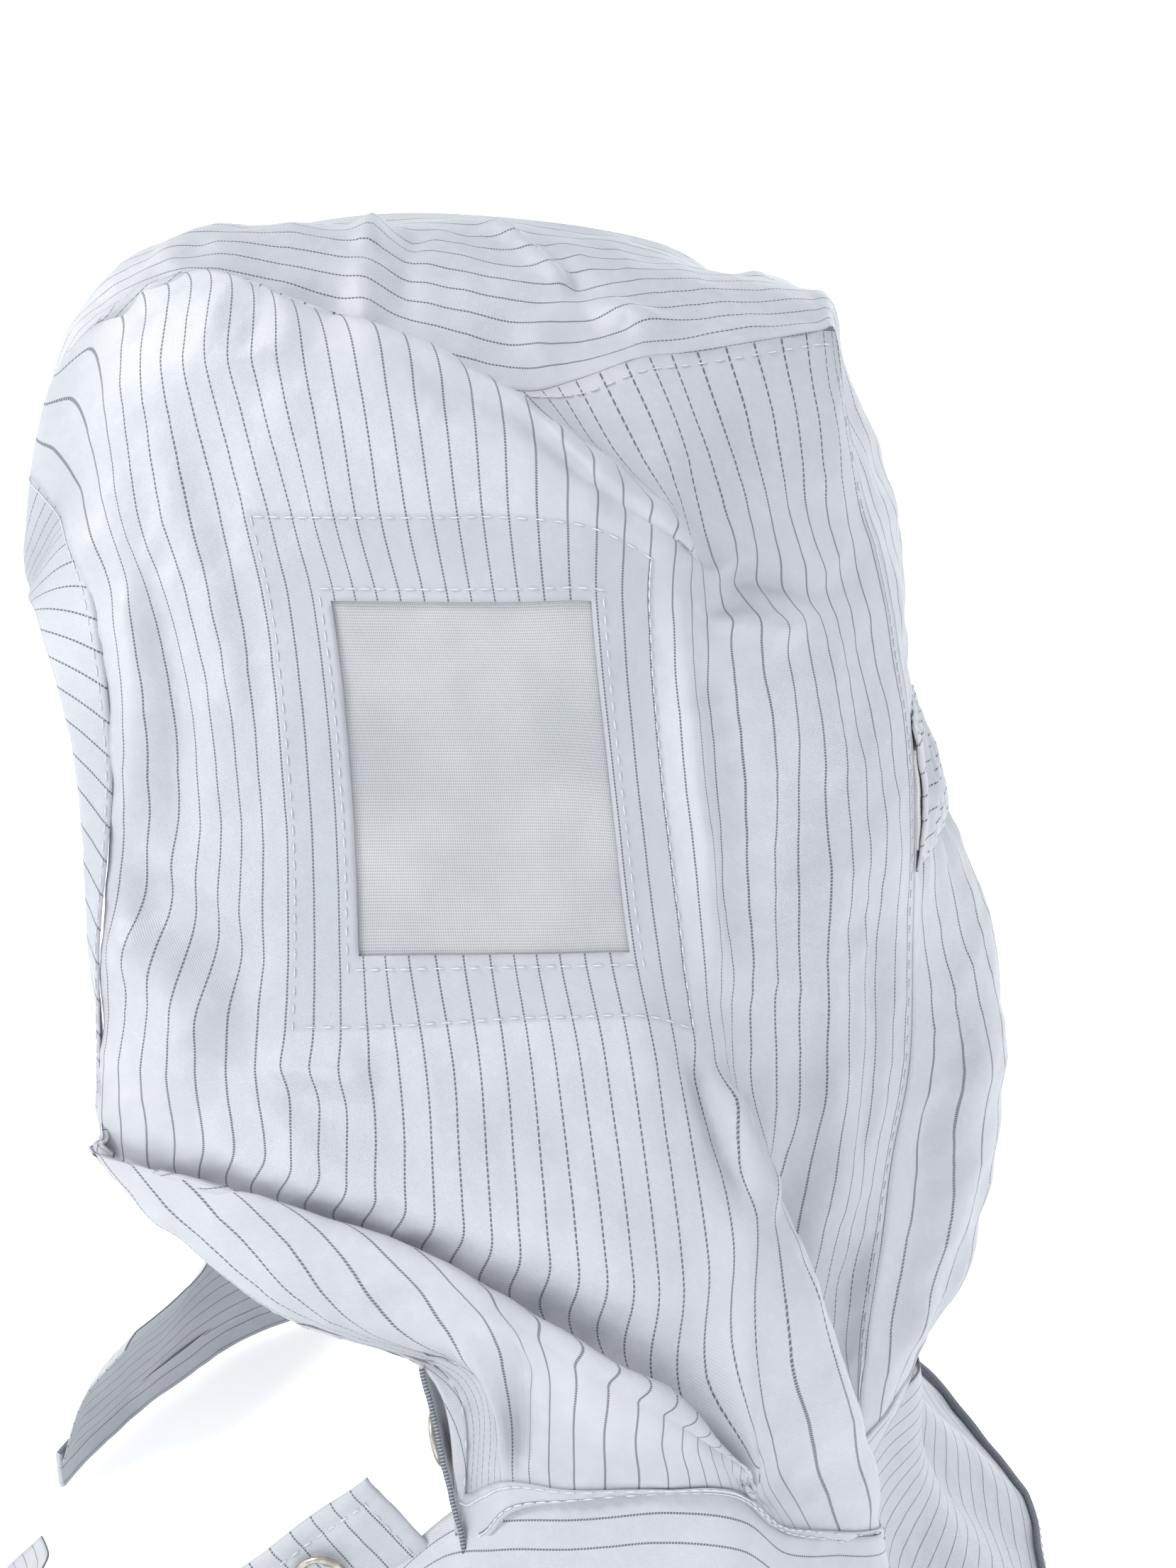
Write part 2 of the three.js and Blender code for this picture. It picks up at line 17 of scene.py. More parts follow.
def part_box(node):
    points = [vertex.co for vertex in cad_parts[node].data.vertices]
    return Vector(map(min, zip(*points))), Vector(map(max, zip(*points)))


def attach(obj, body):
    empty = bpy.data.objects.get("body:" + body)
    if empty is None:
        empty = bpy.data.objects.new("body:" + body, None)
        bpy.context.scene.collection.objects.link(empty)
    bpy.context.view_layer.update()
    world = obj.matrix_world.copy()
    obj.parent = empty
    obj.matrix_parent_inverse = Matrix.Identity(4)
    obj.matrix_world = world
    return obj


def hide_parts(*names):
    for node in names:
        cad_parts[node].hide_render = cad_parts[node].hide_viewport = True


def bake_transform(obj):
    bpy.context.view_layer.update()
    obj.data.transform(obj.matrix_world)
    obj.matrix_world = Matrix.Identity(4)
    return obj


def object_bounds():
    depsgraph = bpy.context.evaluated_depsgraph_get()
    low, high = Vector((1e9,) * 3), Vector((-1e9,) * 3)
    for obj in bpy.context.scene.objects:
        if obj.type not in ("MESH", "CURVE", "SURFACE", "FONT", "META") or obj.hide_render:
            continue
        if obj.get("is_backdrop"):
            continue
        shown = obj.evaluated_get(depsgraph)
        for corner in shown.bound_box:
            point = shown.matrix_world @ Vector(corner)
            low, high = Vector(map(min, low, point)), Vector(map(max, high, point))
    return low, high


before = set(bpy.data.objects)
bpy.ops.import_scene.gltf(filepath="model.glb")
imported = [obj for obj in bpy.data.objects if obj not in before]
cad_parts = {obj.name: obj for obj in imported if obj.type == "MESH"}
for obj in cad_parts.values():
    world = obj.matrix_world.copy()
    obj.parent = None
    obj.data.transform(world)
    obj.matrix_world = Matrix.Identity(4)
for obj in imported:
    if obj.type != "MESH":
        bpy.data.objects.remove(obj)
cad_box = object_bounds()
MM = 0.001

# %% [markdown]
# ## Camera, floor and light
# The camera looks level with the window and a little down, from close by, so the shawl is cut off by the frame.
# A pale bowl serves as floor and backdrop, and gives off a little light itself. The light is soft from all round,
# with a small lamp above the face side to draw the folds and a larger, weaker one behind.

# %% Camera
TARGET = Vector((14.4, -74.0, 233.0)) * MM
DISTANCE = 0.320
LOOK_DOWN = math.radians(15)
camera = bpy.data.objects.new("camera", bpy.data.cameras.new("camera"))
bpy.context.scene.collection.objects.link(camera)
camera.location = TARGET + DISTANCE * Vector((0, -math.cos(LOOK_DOWN), math.sin(LOOK_DOWN)))
camera.rotation_euler = (math.radians(90) - LOOK_DOWN, 0, 0)
camera.data.sensor_width = 36
camera.data.lens = 39.58
camera.data.clip_start = 0.01
bpy.context.scene.camera = camera
print("camera at", [round(c, 3) for c in camera.location])

# %% Soft light
def soft_lamp(name, place, aim, size, power, colour):
    """A large square lamp that looks at a point."""
    lamp = bpy.data.objects.new(name, bpy.data.lights.new(name, "AREA"))
    bpy.context.scene.collection.objects.link(lamp)
    lamp.location = place
    lamp.rotation_euler = (Vector(aim) - Vector(place)).to_track_quat("-Z", "Y").to_euler()
    lamp.data.size = size
    lamp.data.energy = power
    lamp.data.color = colour
    return lamp


soft_lamp("lamp_above", (-0.75, -0.35, 1.05), (0, 0, 0.2), 0.3, 8.5, (1.0, 0.985, 0.955))
soft_lamp("lamp_behind", (0.8, 0.9, 1.1), (0, 0, 0.2), 0.9, 6.0, (0.95, 0.97, 1.0))
world = bpy.data.worlds.new("studio")
bpy.context.scene.world = world
world.use_nodes = True
world.node_tree.nodes["Background"].inputs["Color"].default_value = (0.93, 0.955, 1.0, 1)
world.node_tree.nodes["Background"].inputs["Strength"].default_value = 0.66
bpy.context.scene.view_settings.view_transform = "Standard"

# %% [markdown]
# ## Finishes
# Every finish is made of shader nodes. Writing out a chain of Math nodes by hand hides what it works out, so a
# small class wraps a socket and lets Python's own operators add the nodes.

# %% Shader maths as Python expressions
class Wire:
    """An output of a node. Operators on it add Math nodes."""

    def __init__(self, finish, socket):
        self.finish, self.socket = finish, socket

    def maths(self, operation, *values):
        return self.finish.node("Math", {"operation": operation}, dict(enumerate(values)))

    def __add__(self, other):
        return self.maths("ADD", self, other)

    def __sub__(self, other):
        return self.maths("SUBTRACT", self, other)

    def __rsub__(self, other):
        return self.maths("SUBTRACT", other, self)

    def __mul__(self, other):
        return self.maths("MULTIPLY", self, other)

    def __truediv__(self, other):
        return self.maths("DIVIDE", self, other)

    __radd__, __rmul__ = __add__, __mul__

    def part(self):
        return self.maths("FRACT", self)

    def size(self):
        return self.maths("ABSOLUTE", self)

    def sine(self):
        return self.maths("SINE", self)

    def larger(self, other):
        return self.maths("MAXIMUM", self, other)

    def step(self, low, high):
        """0 below low and 1 above high, smooth between; the other way round where low is the larger."""
        return self.finish.node(
            "MapRange", {"interpolation_type": "SMOOTHSTEP"}, {0: self, 1: low, 2: high, 3: 0.0, 4: 1.0}
        )


class Finish:
    """A material with one Principled shader, whose sockets take numbers, colours or wires."""

    def __init__(self, name, **fixed):
        self.material = bpy.data.materials.new(name)
        self.material.use_nodes = True
        self.tree = self.material.node_tree
        self.tree.nodes.clear()
        self.shader = self.tree.nodes.new("ShaderNodeBsdfPrincipled")
        output = self.tree.nodes.new("ShaderNodeOutputMaterial")
        self.tree.links.new(self.shader.outputs[0], output.inputs["Surface"])
        for socket, value in fixed.items():
            self.set(socket.replace("_", " "), value)

    def plug(self, socket, value):
        if isinstance(value, Wire):
            self.tree.links.new(value.socket, socket)
        else:
            socket.default_value = value

    def set(self, socket, value):
        self.plug(self.shader.inputs[socket], value)

    def node(self, kind, settings=None, values=None, out=0):
        made = self.tree.nodes.new("ShaderNode" + kind)
        for setting, value in (settings or {}).items():
            setattr(made, setting, value)
        for socket, value in (values or {}).items():
            self.plug(made.inputs[socket], value)
        return Wire(self, made.outputs[out])

    def flat_cloth(self):
        """Millimetres across and down the flat cloth, from the piece's own UV map."""
        place = self.node("TexCoord", out=2)
        return (
            self.node("SeparateXYZ", values={0: place}, out=0),
            self.node("SeparateXYZ", values={0: place}, out=1),
        )

    def noise(self, scale, detail=3.0, where=None):
        place = where or self.node("TexCoord", out=3)
        return self.node("TexNoise", values={"Vector": place, "Scale": scale, "Detail": detail})

    def mix(self, factor, first, second, how="MIX"):
        return self.node(
            "Mix", {"data_type": "RGBA", "blend_type": how}, {0: factor, 6: first, 7: second}, out=2
        )

    def relief(self, height, distance, strength=1.0, normal=None):
        values = {"Height": height, "Distance": distance, "Strength": strength}
        if normal is not None:
            values["Normal"] = normal
        return self.node("Bump", values=values)


print("shader helpers ready")

# %% [markdown]
# The cloth is a white polyester twill with a conductive thread woven in every 5 mm. The thread comes up to the
# face in short dashes, which makes the stripe. Where a second layer lies behind the cloth it looks darker and
# bluer, because less light comes through. That shade is painted into the colour: one finish takes a patch of
# doubled cloth as a box on the flat cloth and paints it darker and bluer.

# %% Striped twill
STRIPE_PITCH = 5.0
STRIPE_WIDTH = 0.36
DASH = 0.63
TWILL = 0.40
CLOTH_LIGHT = (0.515, 0.53, 0.565, 1)
CLOTH_SHADE = (0.445, 0.465, 0.505, 1)
THREAD_DARK = (0.055, 0.07, 0.095, 1)


def striped_twill(name, doubled_shade_box=None, hole=None, tint=1.0, coarse=1.0):
    finish = Finish(name, Specular_IOR_Level=0.6, Sheen_Weight=0.12, Sheen_Roughness=0.4)
    across, down = finish.flat_cloth()
    off_stripe = ((across / STRIPE_PITCH).part() - 0.5).size() * STRIPE_PITCH
    on_stripe = off_stripe.step(STRIPE_PITCH / 2 - STRIPE_WIDTH / 2 - 0.07, STRIPE_PITCH / 2 - STRIPE_WIDTH / 2 + 0.07)
    dash = ((down / DASH + across * 0.4).part() - 0.5).size().step(0.39, 0.3)
    stripe = on_stripe * (dash * 0.66 + 0.24)
    twill = ((across - down * 0.8) * (2 * math.pi / TWILL)).sine() * 0.5 + 0.5
    cloud = finish.noise(22 * coarse)
    grain = finish.noise(420, 2.0)
    colour = finish.mix(cloud.step(0.35, 0.68), CLOTH_SHADE, CLOTH_LIGHT)
    colour = finish.mix(twill * 0.10, colour, (0.38, 0.40, 0.44, 1))
    colour = finish.mix(grain.step(0.45, 0.8) * 0.16, colour, (0.62, 0.62, 0.63, 1))
    # Painted shade: the box where the cloth is doubled is painted darker and bluer, for the light that the second layer
    # keeps from coming through.
    if doubled_shade_box:
        left, right, top, bottom = doubled_shade_box
        inside = across.step(left - 0.4, left + 0.4) * across.step(right + 0.4, right - 0.4)
        inside = inside * down.step(top - 0.4, top + 0.4) * down.step(bottom + 0.4, bottom - 0.4)
        colour = finish.mix(inside * 0.42, colour, (0.35, 0.375, 0.43, 1))
    colour = finish.mix(stripe, colour, THREAD_DARK)
    if tint < 1:
        colour = finish.mix(1.0, colour, (tint, tint, tint, 1), "MULTIPLY")
    finish.set("Base Color", colour)
    finish.set("Roughness", 0.36 + cloud * 0.14 + stripe * 0.2)
    weave = finish.relief(twill + stripe * 0.8, 0.00005, 0.55)
    creases = finish.relief(finish.noise(75, 4.0), 0.0012, 0.7, weave)
    finish.set("Normal", creases)
    return finish.material


cloth_finish = striped_twill("striped_cloth")
print("striped twill nodes:", len(cloth_finish.node_tree.nodes))

# %% Mesh, thread, elastic and nickel
def window_mesh_finish(name):
    """Threads across and down. The holes are a partly see-through pattern, not cut in the mesh."""
    finish = Finish(name, Roughness=0.6, Sheen_Weight=0.1)
    across, down = finish.flat_cloth()
    warp = ((across / 0.43).part() - 0.5).size()
    weft = ((down / 0.55).part() - 0.5).size()
    covered = warp.step(0.16, 0.26).larger(weft.step(0.2, 0.3))
    cloud = finish.noise(45)
    finish.set("Base Color", finish.mix(cloud.step(0.3, 0.7), (0.42, 0.435, 0.46, 1), (0.48, 0.495, 0.515, 1)))
    finish.set("Alpha", covered * 0.5 + 0.5)
    finish.set("Normal", finish.relief(warp.larger(weft), 0.00012, 0.8))
    return finish.material


def thread_finish(name, colour):
    finish = Finish(name, Specular_IOR_Level=0.4, Sheen_Weight=0.2)
    twist = finish.noise(2500, 1.0)
    finish.set("Base Color", finish.mix(twist, colour, tuple(0.8 * c for c in colour[:3]) + (1,)))
    finish.set("Roughness", 0.4 + twist * 0.3)
    finish.set("Normal", finish.relief(twist, 0.0001, 0.6))
    return finish.material


def elastic_finish(name):
    """Knitted elastic: fine ribs along the band and a looser rib across it."""
    finish = Finish(name, Sheen_Weight=0.2)
    across, down = finish.flat_cloth()
    rib = (across * (2 * math.pi / 1.1)).sine() * 0.5 + 0.5
    loop = (down * (2 * math.pi / 0.7)).sine() * 0.5 + 0.5
    finish.set("Base Color", finish.mix(rib * 0.6 + loop * 0.3, (0.70, 0.70, 0.68, 1), (0.88, 0.88, 0.86, 1)))
    finish.set("Roughness", 0.65 + loop * 0.2)
    finish.set("Normal", finish.relief(rib + loop * 0.4, 0.0002, 0.8))
    return finish.material


def nickel_finish(name):
    """Dull plate with fine scuffs, a little darker where it has worn."""
    finish = Finish(name, Metallic=1.0, Specular_IOR_Level=0.5)
    cloud, scuff = finish.noise(350), finish.noise(1800, 4.0)
    finish.set("Base Color", finish.mix(cloud.step(0.3, 0.75), (0.33, 0.31, 0.27, 1), (0.62, 0.59, 0.53, 1)))
    finish.set("Roughness", 0.22 + scuff * 0.25)
    finish.set("Normal", finish.relief(scuff, 0.00005, 0.5))
    return finish.material


mesh_finish = window_mesh_finish("window_mesh")
stitch_finish = thread_finish("white_thread", (0.66, 0.68, 0.72, 1))
band_finish = elastic_finish("knitted_elastic")
metal_finish = nickel_finish("dull_nickel")
print("finishes:", [m.name for m in bpy.data.materials])

# %% [markdown]
# ## How a panel is drawn
# A net holds points of the cloth in millimetres: its columns are grain lines, its rows run across them. A smooth
# curve through the columns and then through the rows gives any point. The stations of a net are lengths on the
# flat cloth, and they become the UV map, so the stripes run along the grain whatever the fold does.

# %% Curves and nets
def smooth_curve(stations, values, where):
    """Points at where, on the smooth curves through values. values is (stations, ...) or one set per point."""
    s = np.asarray(stations, float)
    each = values.ndim == 3 and len(values) == len(where) and values.shape[1] == len(s)
    v = values if each else np.broadcast_to(values, (len(where),) + values.shape)
    i = np.clip(np.searchsorted(s, where, side="right") - 1, 0, len(s) - 2)
    n = np.arange(len(where))
    before, after = np.maximum(i - 1, 0), np.minimum(i + 2, len(s) - 1)
    p0, p1, p2, p3 = v[n, before], v[n, i], v[n, i + 1], v[n, after]
    extra = (1,) * (p1.ndim - 1)
    width = (s[i + 1] - s[i]).reshape(-1, *extra)
    t = ((where - s[i]) / (s[i + 1] - s[i])).reshape(-1, *extra)
    m1 = (p2 - p0) / (s[i + 1] - s[before]).reshape(-1, *extra) * width
    m2 = (p3 - p1) / (s[after] - s[i]).reshape(-1, *extra) * width
    t2, t3 = t * t, t * t * t
    return (2 * t3 - 3 * t2 + 1) * p1 + (t3 - 2 * t2 + t) * m1 + (3 * t2 - 2 * t3) * p2 + (t3 - t2) * m2


class Net:
    """Points in millimetres, rows of columns, with the length on the flat cloth at each column and row."""

    def __init__(self, across, down, rows):
        self.across, self.down = np.array(across, float), np.array(down, float)
        self.points = np.array(rows, float)

    def at(self, u, v):
        u = np.clip(u, self.across[0], self.across[-1])
        v = np.clip(v, self.down[0], self.down[-1])
        columns = self.points.transpose(1, 0, 2)
        lines = smooth_curve(self.across, columns.reshape(len(columns), -1), u)
        return smooth_curve(self.down, lines.reshape(len(u), -1, 3), v)

    def outward(self, u, v, d=0.4):
        """Unit normals on the side from which u runs right and v runs down."""
        du = self.at(u + d, v) - self.at(u - d, v)
        dv = self.at(u, v + d) - self.at(u, v - d)
        n = np.cross(dv, du)
        return n / np.maximum(np.linalg.norm(n, axis=1, keepdims=True), 1e-9)


def evenly(*stops, step=1.35):
    """Stations from the first stop to the last that pass through every stop, about a step apart."""
    found = [stops[0]]
    for low, high in zip(stops, stops[1:]):
        count = max(1, round(abs(high - low) / step))
        found += [low + (high - low) * (i + 1) / count for i in range(count)]
    return np.array(found, float)


print("net helpers ready")

# %% [markdown]
# Soft wrinkles are added along the cloth's normal: named folds, which are ridges or valleys along a line on the
# flat cloth, and a fine crumple from a noise pattern, the same on every run.

# %% Folds and crumples
def fold(u, v, start, end, width, height):
    """The height of a soft ridge between two places on the flat cloth. It dies away at its ends."""
    (a, b), (c, d) = start, end
    length = math.hypot(c - a, d - b)
    along = ((u - a) * (c - a) + (v - b) * (d - b)) / length**2
    aside = ((u - a) * (d - b) - (v - b) * (c - a)) / length
    ends = np.clip(np.minimum(along, 1 - along) * 3.5, 0, 1)
    return height * np.exp(-((aside / width) ** 2)) * ends * ends * (3 - 2 * ends)


def crumple(points, size, height, seed=0.0):
    """Fine creases: sharp valleys and soft hills, from a noise pattern of that size in millimetres."""
    found = np.empty(len(points))
    for i, p in enumerate(points):
        q = Vector((p[0], p[1], p[2])) / size + Vector((seed, seed * 0.7, 0))
        found[i] = 0.6 * noise.noise(q) + 0.4 * (0.35 - abs(noise.noise(q * 1.9)))
    return height * found


def cloth(name, net, across, down, finish, lift=0.0, thick=0.45, relief=None, turned=False, inside_out=False,
          hole=None, start=(0.0, 0.0)):
    """A piece of cloth: a grid laid on a net at those stations, with a thickness. UVs are in millimetres."""
    bm = bmesh.new()
    flat = bm.loops.layers.uv.new("flat_cloth")
    bmesh.ops.create_grid(bm, x_segments=len(across) - 1, y_segments=len(down) - 1, size=1)
    columns = [round((v.co.x + 1) / 2 * (len(across) - 1)) for v in bm.verts]
    rows = [round((1 - v.co.y) / 2 * (len(down) - 1)) for v in bm.verts]
    u, v = np.array(across)[columns], np.array(down)[rows]
    place, normal = net.at(u, v), net.outward(u, v)
    height = np.full(len(u), float(lift))
    if relief is not None:
        height = height + relief(u, v, place)
    place = (place + normal * (-height if inside_out else height)[:, None]) * MM
    spots = {}
    for vert, point, a, b in zip(bm.verts, place, u, v):
        vert.co = point
        spots[vert] = (a - start[0], b - start[1])
    for face in bm.faces:
        face.smooth = True
        for loop in face.loops:
            a, b = spots[loop.vert]
            loop[flat].uv = (b, a) if turned else (a, b)
    if hole:
        left, right, top, bottom = hole
        gone = []
        for face in bm.faces:
            a = sum(spots[vert][0] for vert in face.verts) / 4 + start[0]
            b = sum(spots[vert][1] for vert in face.verts) / 4 + start[1]
            if left < a < right and top < b < bottom:
                gone.append(face)
        bmesh.ops.delete(bm, geom=gone, context="FACES")
    if inside_out:
        bmesh.ops.reverse_faces(bm, faces=bm.faces)
    mesh = bpy.data.meshes.new(name)
    bm.to_mesh(mesh)
    bm.free()
    piece = bpy.data.objects.new(name, mesh)
    bpy.context.scene.collection.objects.link(piece)
    mesh.materials.append(finish)
    if thick:
        wall = piece.modifiers.new("thickness", "SOLIDIFY")
        wall.thickness = thick * MM
        wall.offset = -1
    print(name, len(mesh.polygons), "faces")
    return piece


def settle(piece, body, slot, *nodes):
    """The piece rides on a body and stands for CAD nodes, which it hides. slot is not used."""
    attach(piece, body)
    if nodes:
        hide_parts(*nodes)
    return piece


# %% [markdown]
# Stitches are small beads of thread laid along a line on the flat cloth. A real stitch dips into the cloth at
# both ends, which a stretched ball shows well enough with a few faces.

# %% Stitches
def stitches(name, net, lines, lift, body="hood", pitch=3.2, stitch=2.3, thread=0.17, inside_out=False):
    """Rows of stitches along lines of places on the flat cloth."""
    bm = bmesh.new()
    count = 0
    for line in lines:
        line = np.array(line, float)
        steps = np.linalg.norm(np.diff(line, axis=0), axis=1)
        total = np.concatenate([[0], np.cumsum(steps)])
        where = np.arange(pitch * 0.5, total[-1], pitch)
        u = np.interp(where, total, line[:, 0])
        v = np.interp(where, total, line[:, 1])
        u2 = np.interp(where + 0.5, total, line[:, 0])
        v2 = np.interp(where + 0.5, total, line[:, 1])
        place, ahead = net.at(u, v), net.at(u2, v2)
        normal = net.outward(u, v) * (-1 if inside_out else 1)
        heights = lift(u, v, place) if callable(lift) else np.full(len(u), lift)
        for p, q, n, h in zip(place, ahead, normal, heights):
            along = Vector(q - p)
            if along.length < 1e-6:
                continue
            along.normalize()
            up = Vector(n)
            side = up.cross(along).normalized()
            up = along.cross(side)
            turn = Matrix((along, side, up)).transposed().to_4x4()
            spot = Matrix.Translation((Vector(p) + up * float(h)) * MM)
            size = Matrix.Diagonal((stitch / 2 * MM, thread * MM, thread * MM, 1))
            bmesh.ops.create_uvsphere(bm, u_segments=6, v_segments=4, radius=1, matrix=spot @ turn @ size)
            count += 1
    for face in bm.faces:
        face.smooth = True
    mesh = bpy.data.meshes.new(name)
    bm.to_mesh(mesh)
    bm.free()
    piece = bpy.data.objects.new(name, mesh)
    bpy.context.scene.collection.objects.link(piece)
    mesh.materials.append(stitch_finish)
    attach(piece, body)
    print(name, count, "stitches")
    return piece


# %% [markdown]
# ## Left side panel
# This is the panel that shows most. Its grain lines are numbered by stripe: stripe 0 runs just in front of the
# window, the face edge is at -11.5 and the back seam at 26.5. The rows are the folds: the crown seam, the ridge
# where the front of the hood sags over it, the window, the long crease where the panel is twisted to the throat,
# the roll below the crease, and the neck seam.

# %% The net of the left panel
GRAIN_LINES = [-11.5, -9, -6, -3, 0, 3, 6, 9, 12, 15, 17.5, 19.5, 22, 24.5, 26.5]


def stripe(k):
    """Millimetres from the face edge to stripe k."""
    return (np.asarray(k) + 11.5) * STRIPE_PITCH


# Most of these points were printed by a separate program and copied here, and the rest were typed. They are
# neither chosen one by one nor worked out from the frame, so this table is not a pattern to follow.
LEFT_ROWS = [
    (0, "crown seam", [(-95, -47, 273), (-91, -42, 297), (-84, -41, 312), (-74, -41, 319), (-61, -42, 320),
        (-44, -43, 316), (-28, -44, 311), (-13, -45, 306), (2, -45, 303), (12, -43, 305), (24, -40, 309),
        (33, -37, 310), (47, -33, 312), (60, -27, 314), (64, -26, 314)]),
    (6, "behind the ridge", [(-95, -48, 271), (-92, -44, 294), (-85, -43, 310), (-74, -43, 316), (-60, -44, 316),
        (-43, -45, 311), (-27, -46, 306), (-10, -47, 300), (7, -47, 298), (20, -48, 291), (30, -45, 295),
        (38, -42, 296), (51, -36, 298), (62, -30, 299), (67, -25, 298)]),
    (15, "ridge", [(-95, -49, 269), (-88, -46, 292), (-75, -45, 318), (-61, -46, 325), (-49, -49, 324),
        (-37, -51, 320), (-20, -54, 314), (-4, -57, 307), (14, -62, 293), (29, -64, 282), (35, -58, 276),
        (43, -48, 281), (53, -41, 283), (64, -34, 282), (71, -27, 281)]),
    (33, "below the ridge", [(-94, -50, 266), (-83, -49, 286), (-73, -52, 303), (-60, -55, 308), (-47, -58, 308),
        (-32, -60, 305), (-17, -61, 301), (-1, -62, 298), (16, -65, 286), (30, -66, 277), (37, -61, 270),
        (45, -52, 272), (56, -44, 273), (66, -37, 273), (74, -30, 272)]),
    (52, "top of the facing", [(-94, -51, 264), (-80, -54, 279), (-70, -58, 281), (-54, -62, 281), (-40, -65, 281),
        (-28, -66, 281), (-14, -66, 281), (0, -66, 281), (16, -67, 279), (30, -67, 271), (38, -63, 263),
        (47, -55, 264), (59, -47, 265), (68, -39, 264), (76, -32, 263)]),
    (68, "top of the window", [(-92, -53, 260), (-75, -60, 265), (-64, -64, 265), (-50, -67, 266), (-36, -69, 266),
        (-24, -70, 266), (-11, -71, 266), (2, -71, 266), (16, -70, 266), (30, -68, 263), (39, -65, 255),
        (50, -58, 255), (62, -50, 255), (70, -42, 253), (78, -34, 252)]),
    (98, "middle of the window", [(-84, -63, 234), (-73, -66, 234), (-59, -70, 236), (-47, -72, 236),
        (-33, -74, 237), (-21, -74, 237), (-7, -74, 237), (7, -74, 237), (19, -73, 236), (32, -71, 234),
        (41, -68, 231), (53, -62, 231), (66, -54, 230), (75, -45, 228), (82, -37, 227)]),
    (132, "foot of the window", [(-83, -67, 197), (-78, -70, 199), (-62, -74, 200), (-47, -77, 201),
        (-32, -79, 202), (-19, -81, 203), (-4, -81, 203), (9, -81, 203), (23, -80, 203), (36, -77, 200),
        (43, -72, 198), (53, -64, 195), (67, -56, 192), (77, -47, 189), (83, -40, 188)]),
    (152, "cheek", [(-81, -69, 179), (-80, -72, 177), (-66, -77, 178), (-49, -79, 179), (-32, -82, 180),
        (-16, -84, 181), (-1, -85, 182), (13, -85, 182), (27, -85, 182), (39, -81, 177), (45, -72, 171),
        (55, -63, 166), (67, -57, 166), (76, -50, 165), (83, -43, 163)]),
    (172, "above the crease", [(-80, -74, 170), (-80, -76, 168), (-65, -81, 165), (-47, -85, 163), (-31, -89, 159),
        (-14, -93, 155), (2, -96, 150), (18, -99, 146), (32, -100, 146), (45, -96, 156), (51, -86, 153),
        (51, -66, 142), (65, -60, 145), (73, -54, 144), (79, -49, 143)]),
    (188, "crease", [(-79, -77, 163), (-80, -76, 160), (-65, -81, 155), (-48, -84, 152), (-30, -88, 147),
        (-13, -92, 141), (3, -96.5, 134), (18, -100, 128), (32, -103, 123), (45, -103, 141), (56, -92, 143),
        (50, -66, 126), (63, -60, 126), (71, -54, 124), (77, -52, 124)]),
    (196, "top of the roll", [(-79, -78, 161), (-80, -80, 160), (-55, -86, 157), (-21, -95, 150), (9, -103, 138),
        (26, -108, 129), (35, -111, 121), (41, -112, 116), (44, -110, 111), (46, -105, 126), (62, -92, 126),
        (53, -66, 112), (61, -60, 111), (69, -55, 109), (75, -54, 108)]),
    (208, "roll", [(-68, -72, 148), (-70, -80, 146), (-43, -91, 148), (-10, -100, 144), (12, -108, 132),
        (28, -112, 125), (36, -114, 120), (42, -114, 116), (45, -111, 109), (48, -105, 117), (66, -92, 115),
        (57, -68, 102), (63, -62, 101), (69, -57, 99), (74, -56, 98)]),
    (222, "under the roll", [(-44, -80, 126), (-45, -84, 128), (-31, -91, 132), (-3, -102, 135), (12, -110, 123),
        (28, -113, 120), (37, -115, 118), (42, -114, 113), (46, -110, 106), (50, -104, 108), (69, -91, 104),
        (64, -70, 94), (67, -64, 93), (71, -59, 92), (73, -58, 92)]),
    (240, "throat", [(-15, -98, 123), (-10, -98, 123), (-6, -100, 125), (0, -105, 120), (12, -111, 115),
        (29, -113, 114), (38, -114, 114), (43, -113, 111), (48, -109, 103), (54, -103, 99), (72, -89, 91),
        (68, -73, 84), (71, -66, 84), (73, -61, 84), (73, -60, 84)]),
    (256, "neck seam", [(-10, -108, 95), (-8, -109, 94), (-4, -111, 98), (1, -112, 105), (12, -113, 108),
        (29, -113, 110), (39, -113, 110), (44, -112, 107), (50, -108, 98), (58, -102, 91), (73, -88, 79),
        (72, -77, 76), (73, -69, 75), (74, -64, 75), (74, -61, 75)]),
]
left_net = Net(stripe(GRAIN_LINES), [row[0] for row in LEFT_ROWS], [row[2] for row in LEFT_ROWS])
ROW = {name: v for v, name, _ in LEFT_ROWS}
print("left panel:", left_net.across[-1], "by", left_net.down[-1], "mm of cloth")

# %% The folds of the left panel
LEFT_FOLDS = [
    ((-9.5, 126), (-3.6, 149), 5.0, 2.6),
    ((-9.5, 116), (-2.0, 139), 5.0, -1.8),
    ((-3.2, 150), (1.5, 154), 4.0, 1.8),
    ((-3.2, 158), (3.5, 163), 5.0, -1.4),
    ((14.6, 150), (16.6, 174), 3.2, 2.2),
    ((13.4, 146), (15.2, 172), 3.0, -1.8),
    ((15.4, 56), (15.8, 140), 4.5, 1.3),
    ((16.9, 60), (17.2, 138), 4.0, -1.3),
    ((19.0, 70), (18.4, 150), 4.0, 1.0),
    ((-8.2, 60), (-8.8, 112), 4.0, 1.5),
    ((-6.4, 56), (-7.0, 118), 3.6, -1.4),
    ((-4.6, 36), (-3.4, 96), 4.0, 1.0),
    ((-10.6, 62), (-10.2, 140), 2.4, -1.0),
    ((4.0, 24), (13.0, 30), 5.0, -1.0),
    ((18.0, 34), (23.5, 60), 6.0, -1.6),
    ((17.0, 52), (21.0, 66), 4.0, 1.4),
    ((-3.8, 222), (-3.6, 254), 2.4, 1.6),
    ((-2.3, 218), (-2.5, 252), 2.2, -1.6),
    ((21.0, 100), (21.5, 170), 3.5, 0.9),
    ((24.0, 110), (23.6, 180), 3.0, -0.9),
]


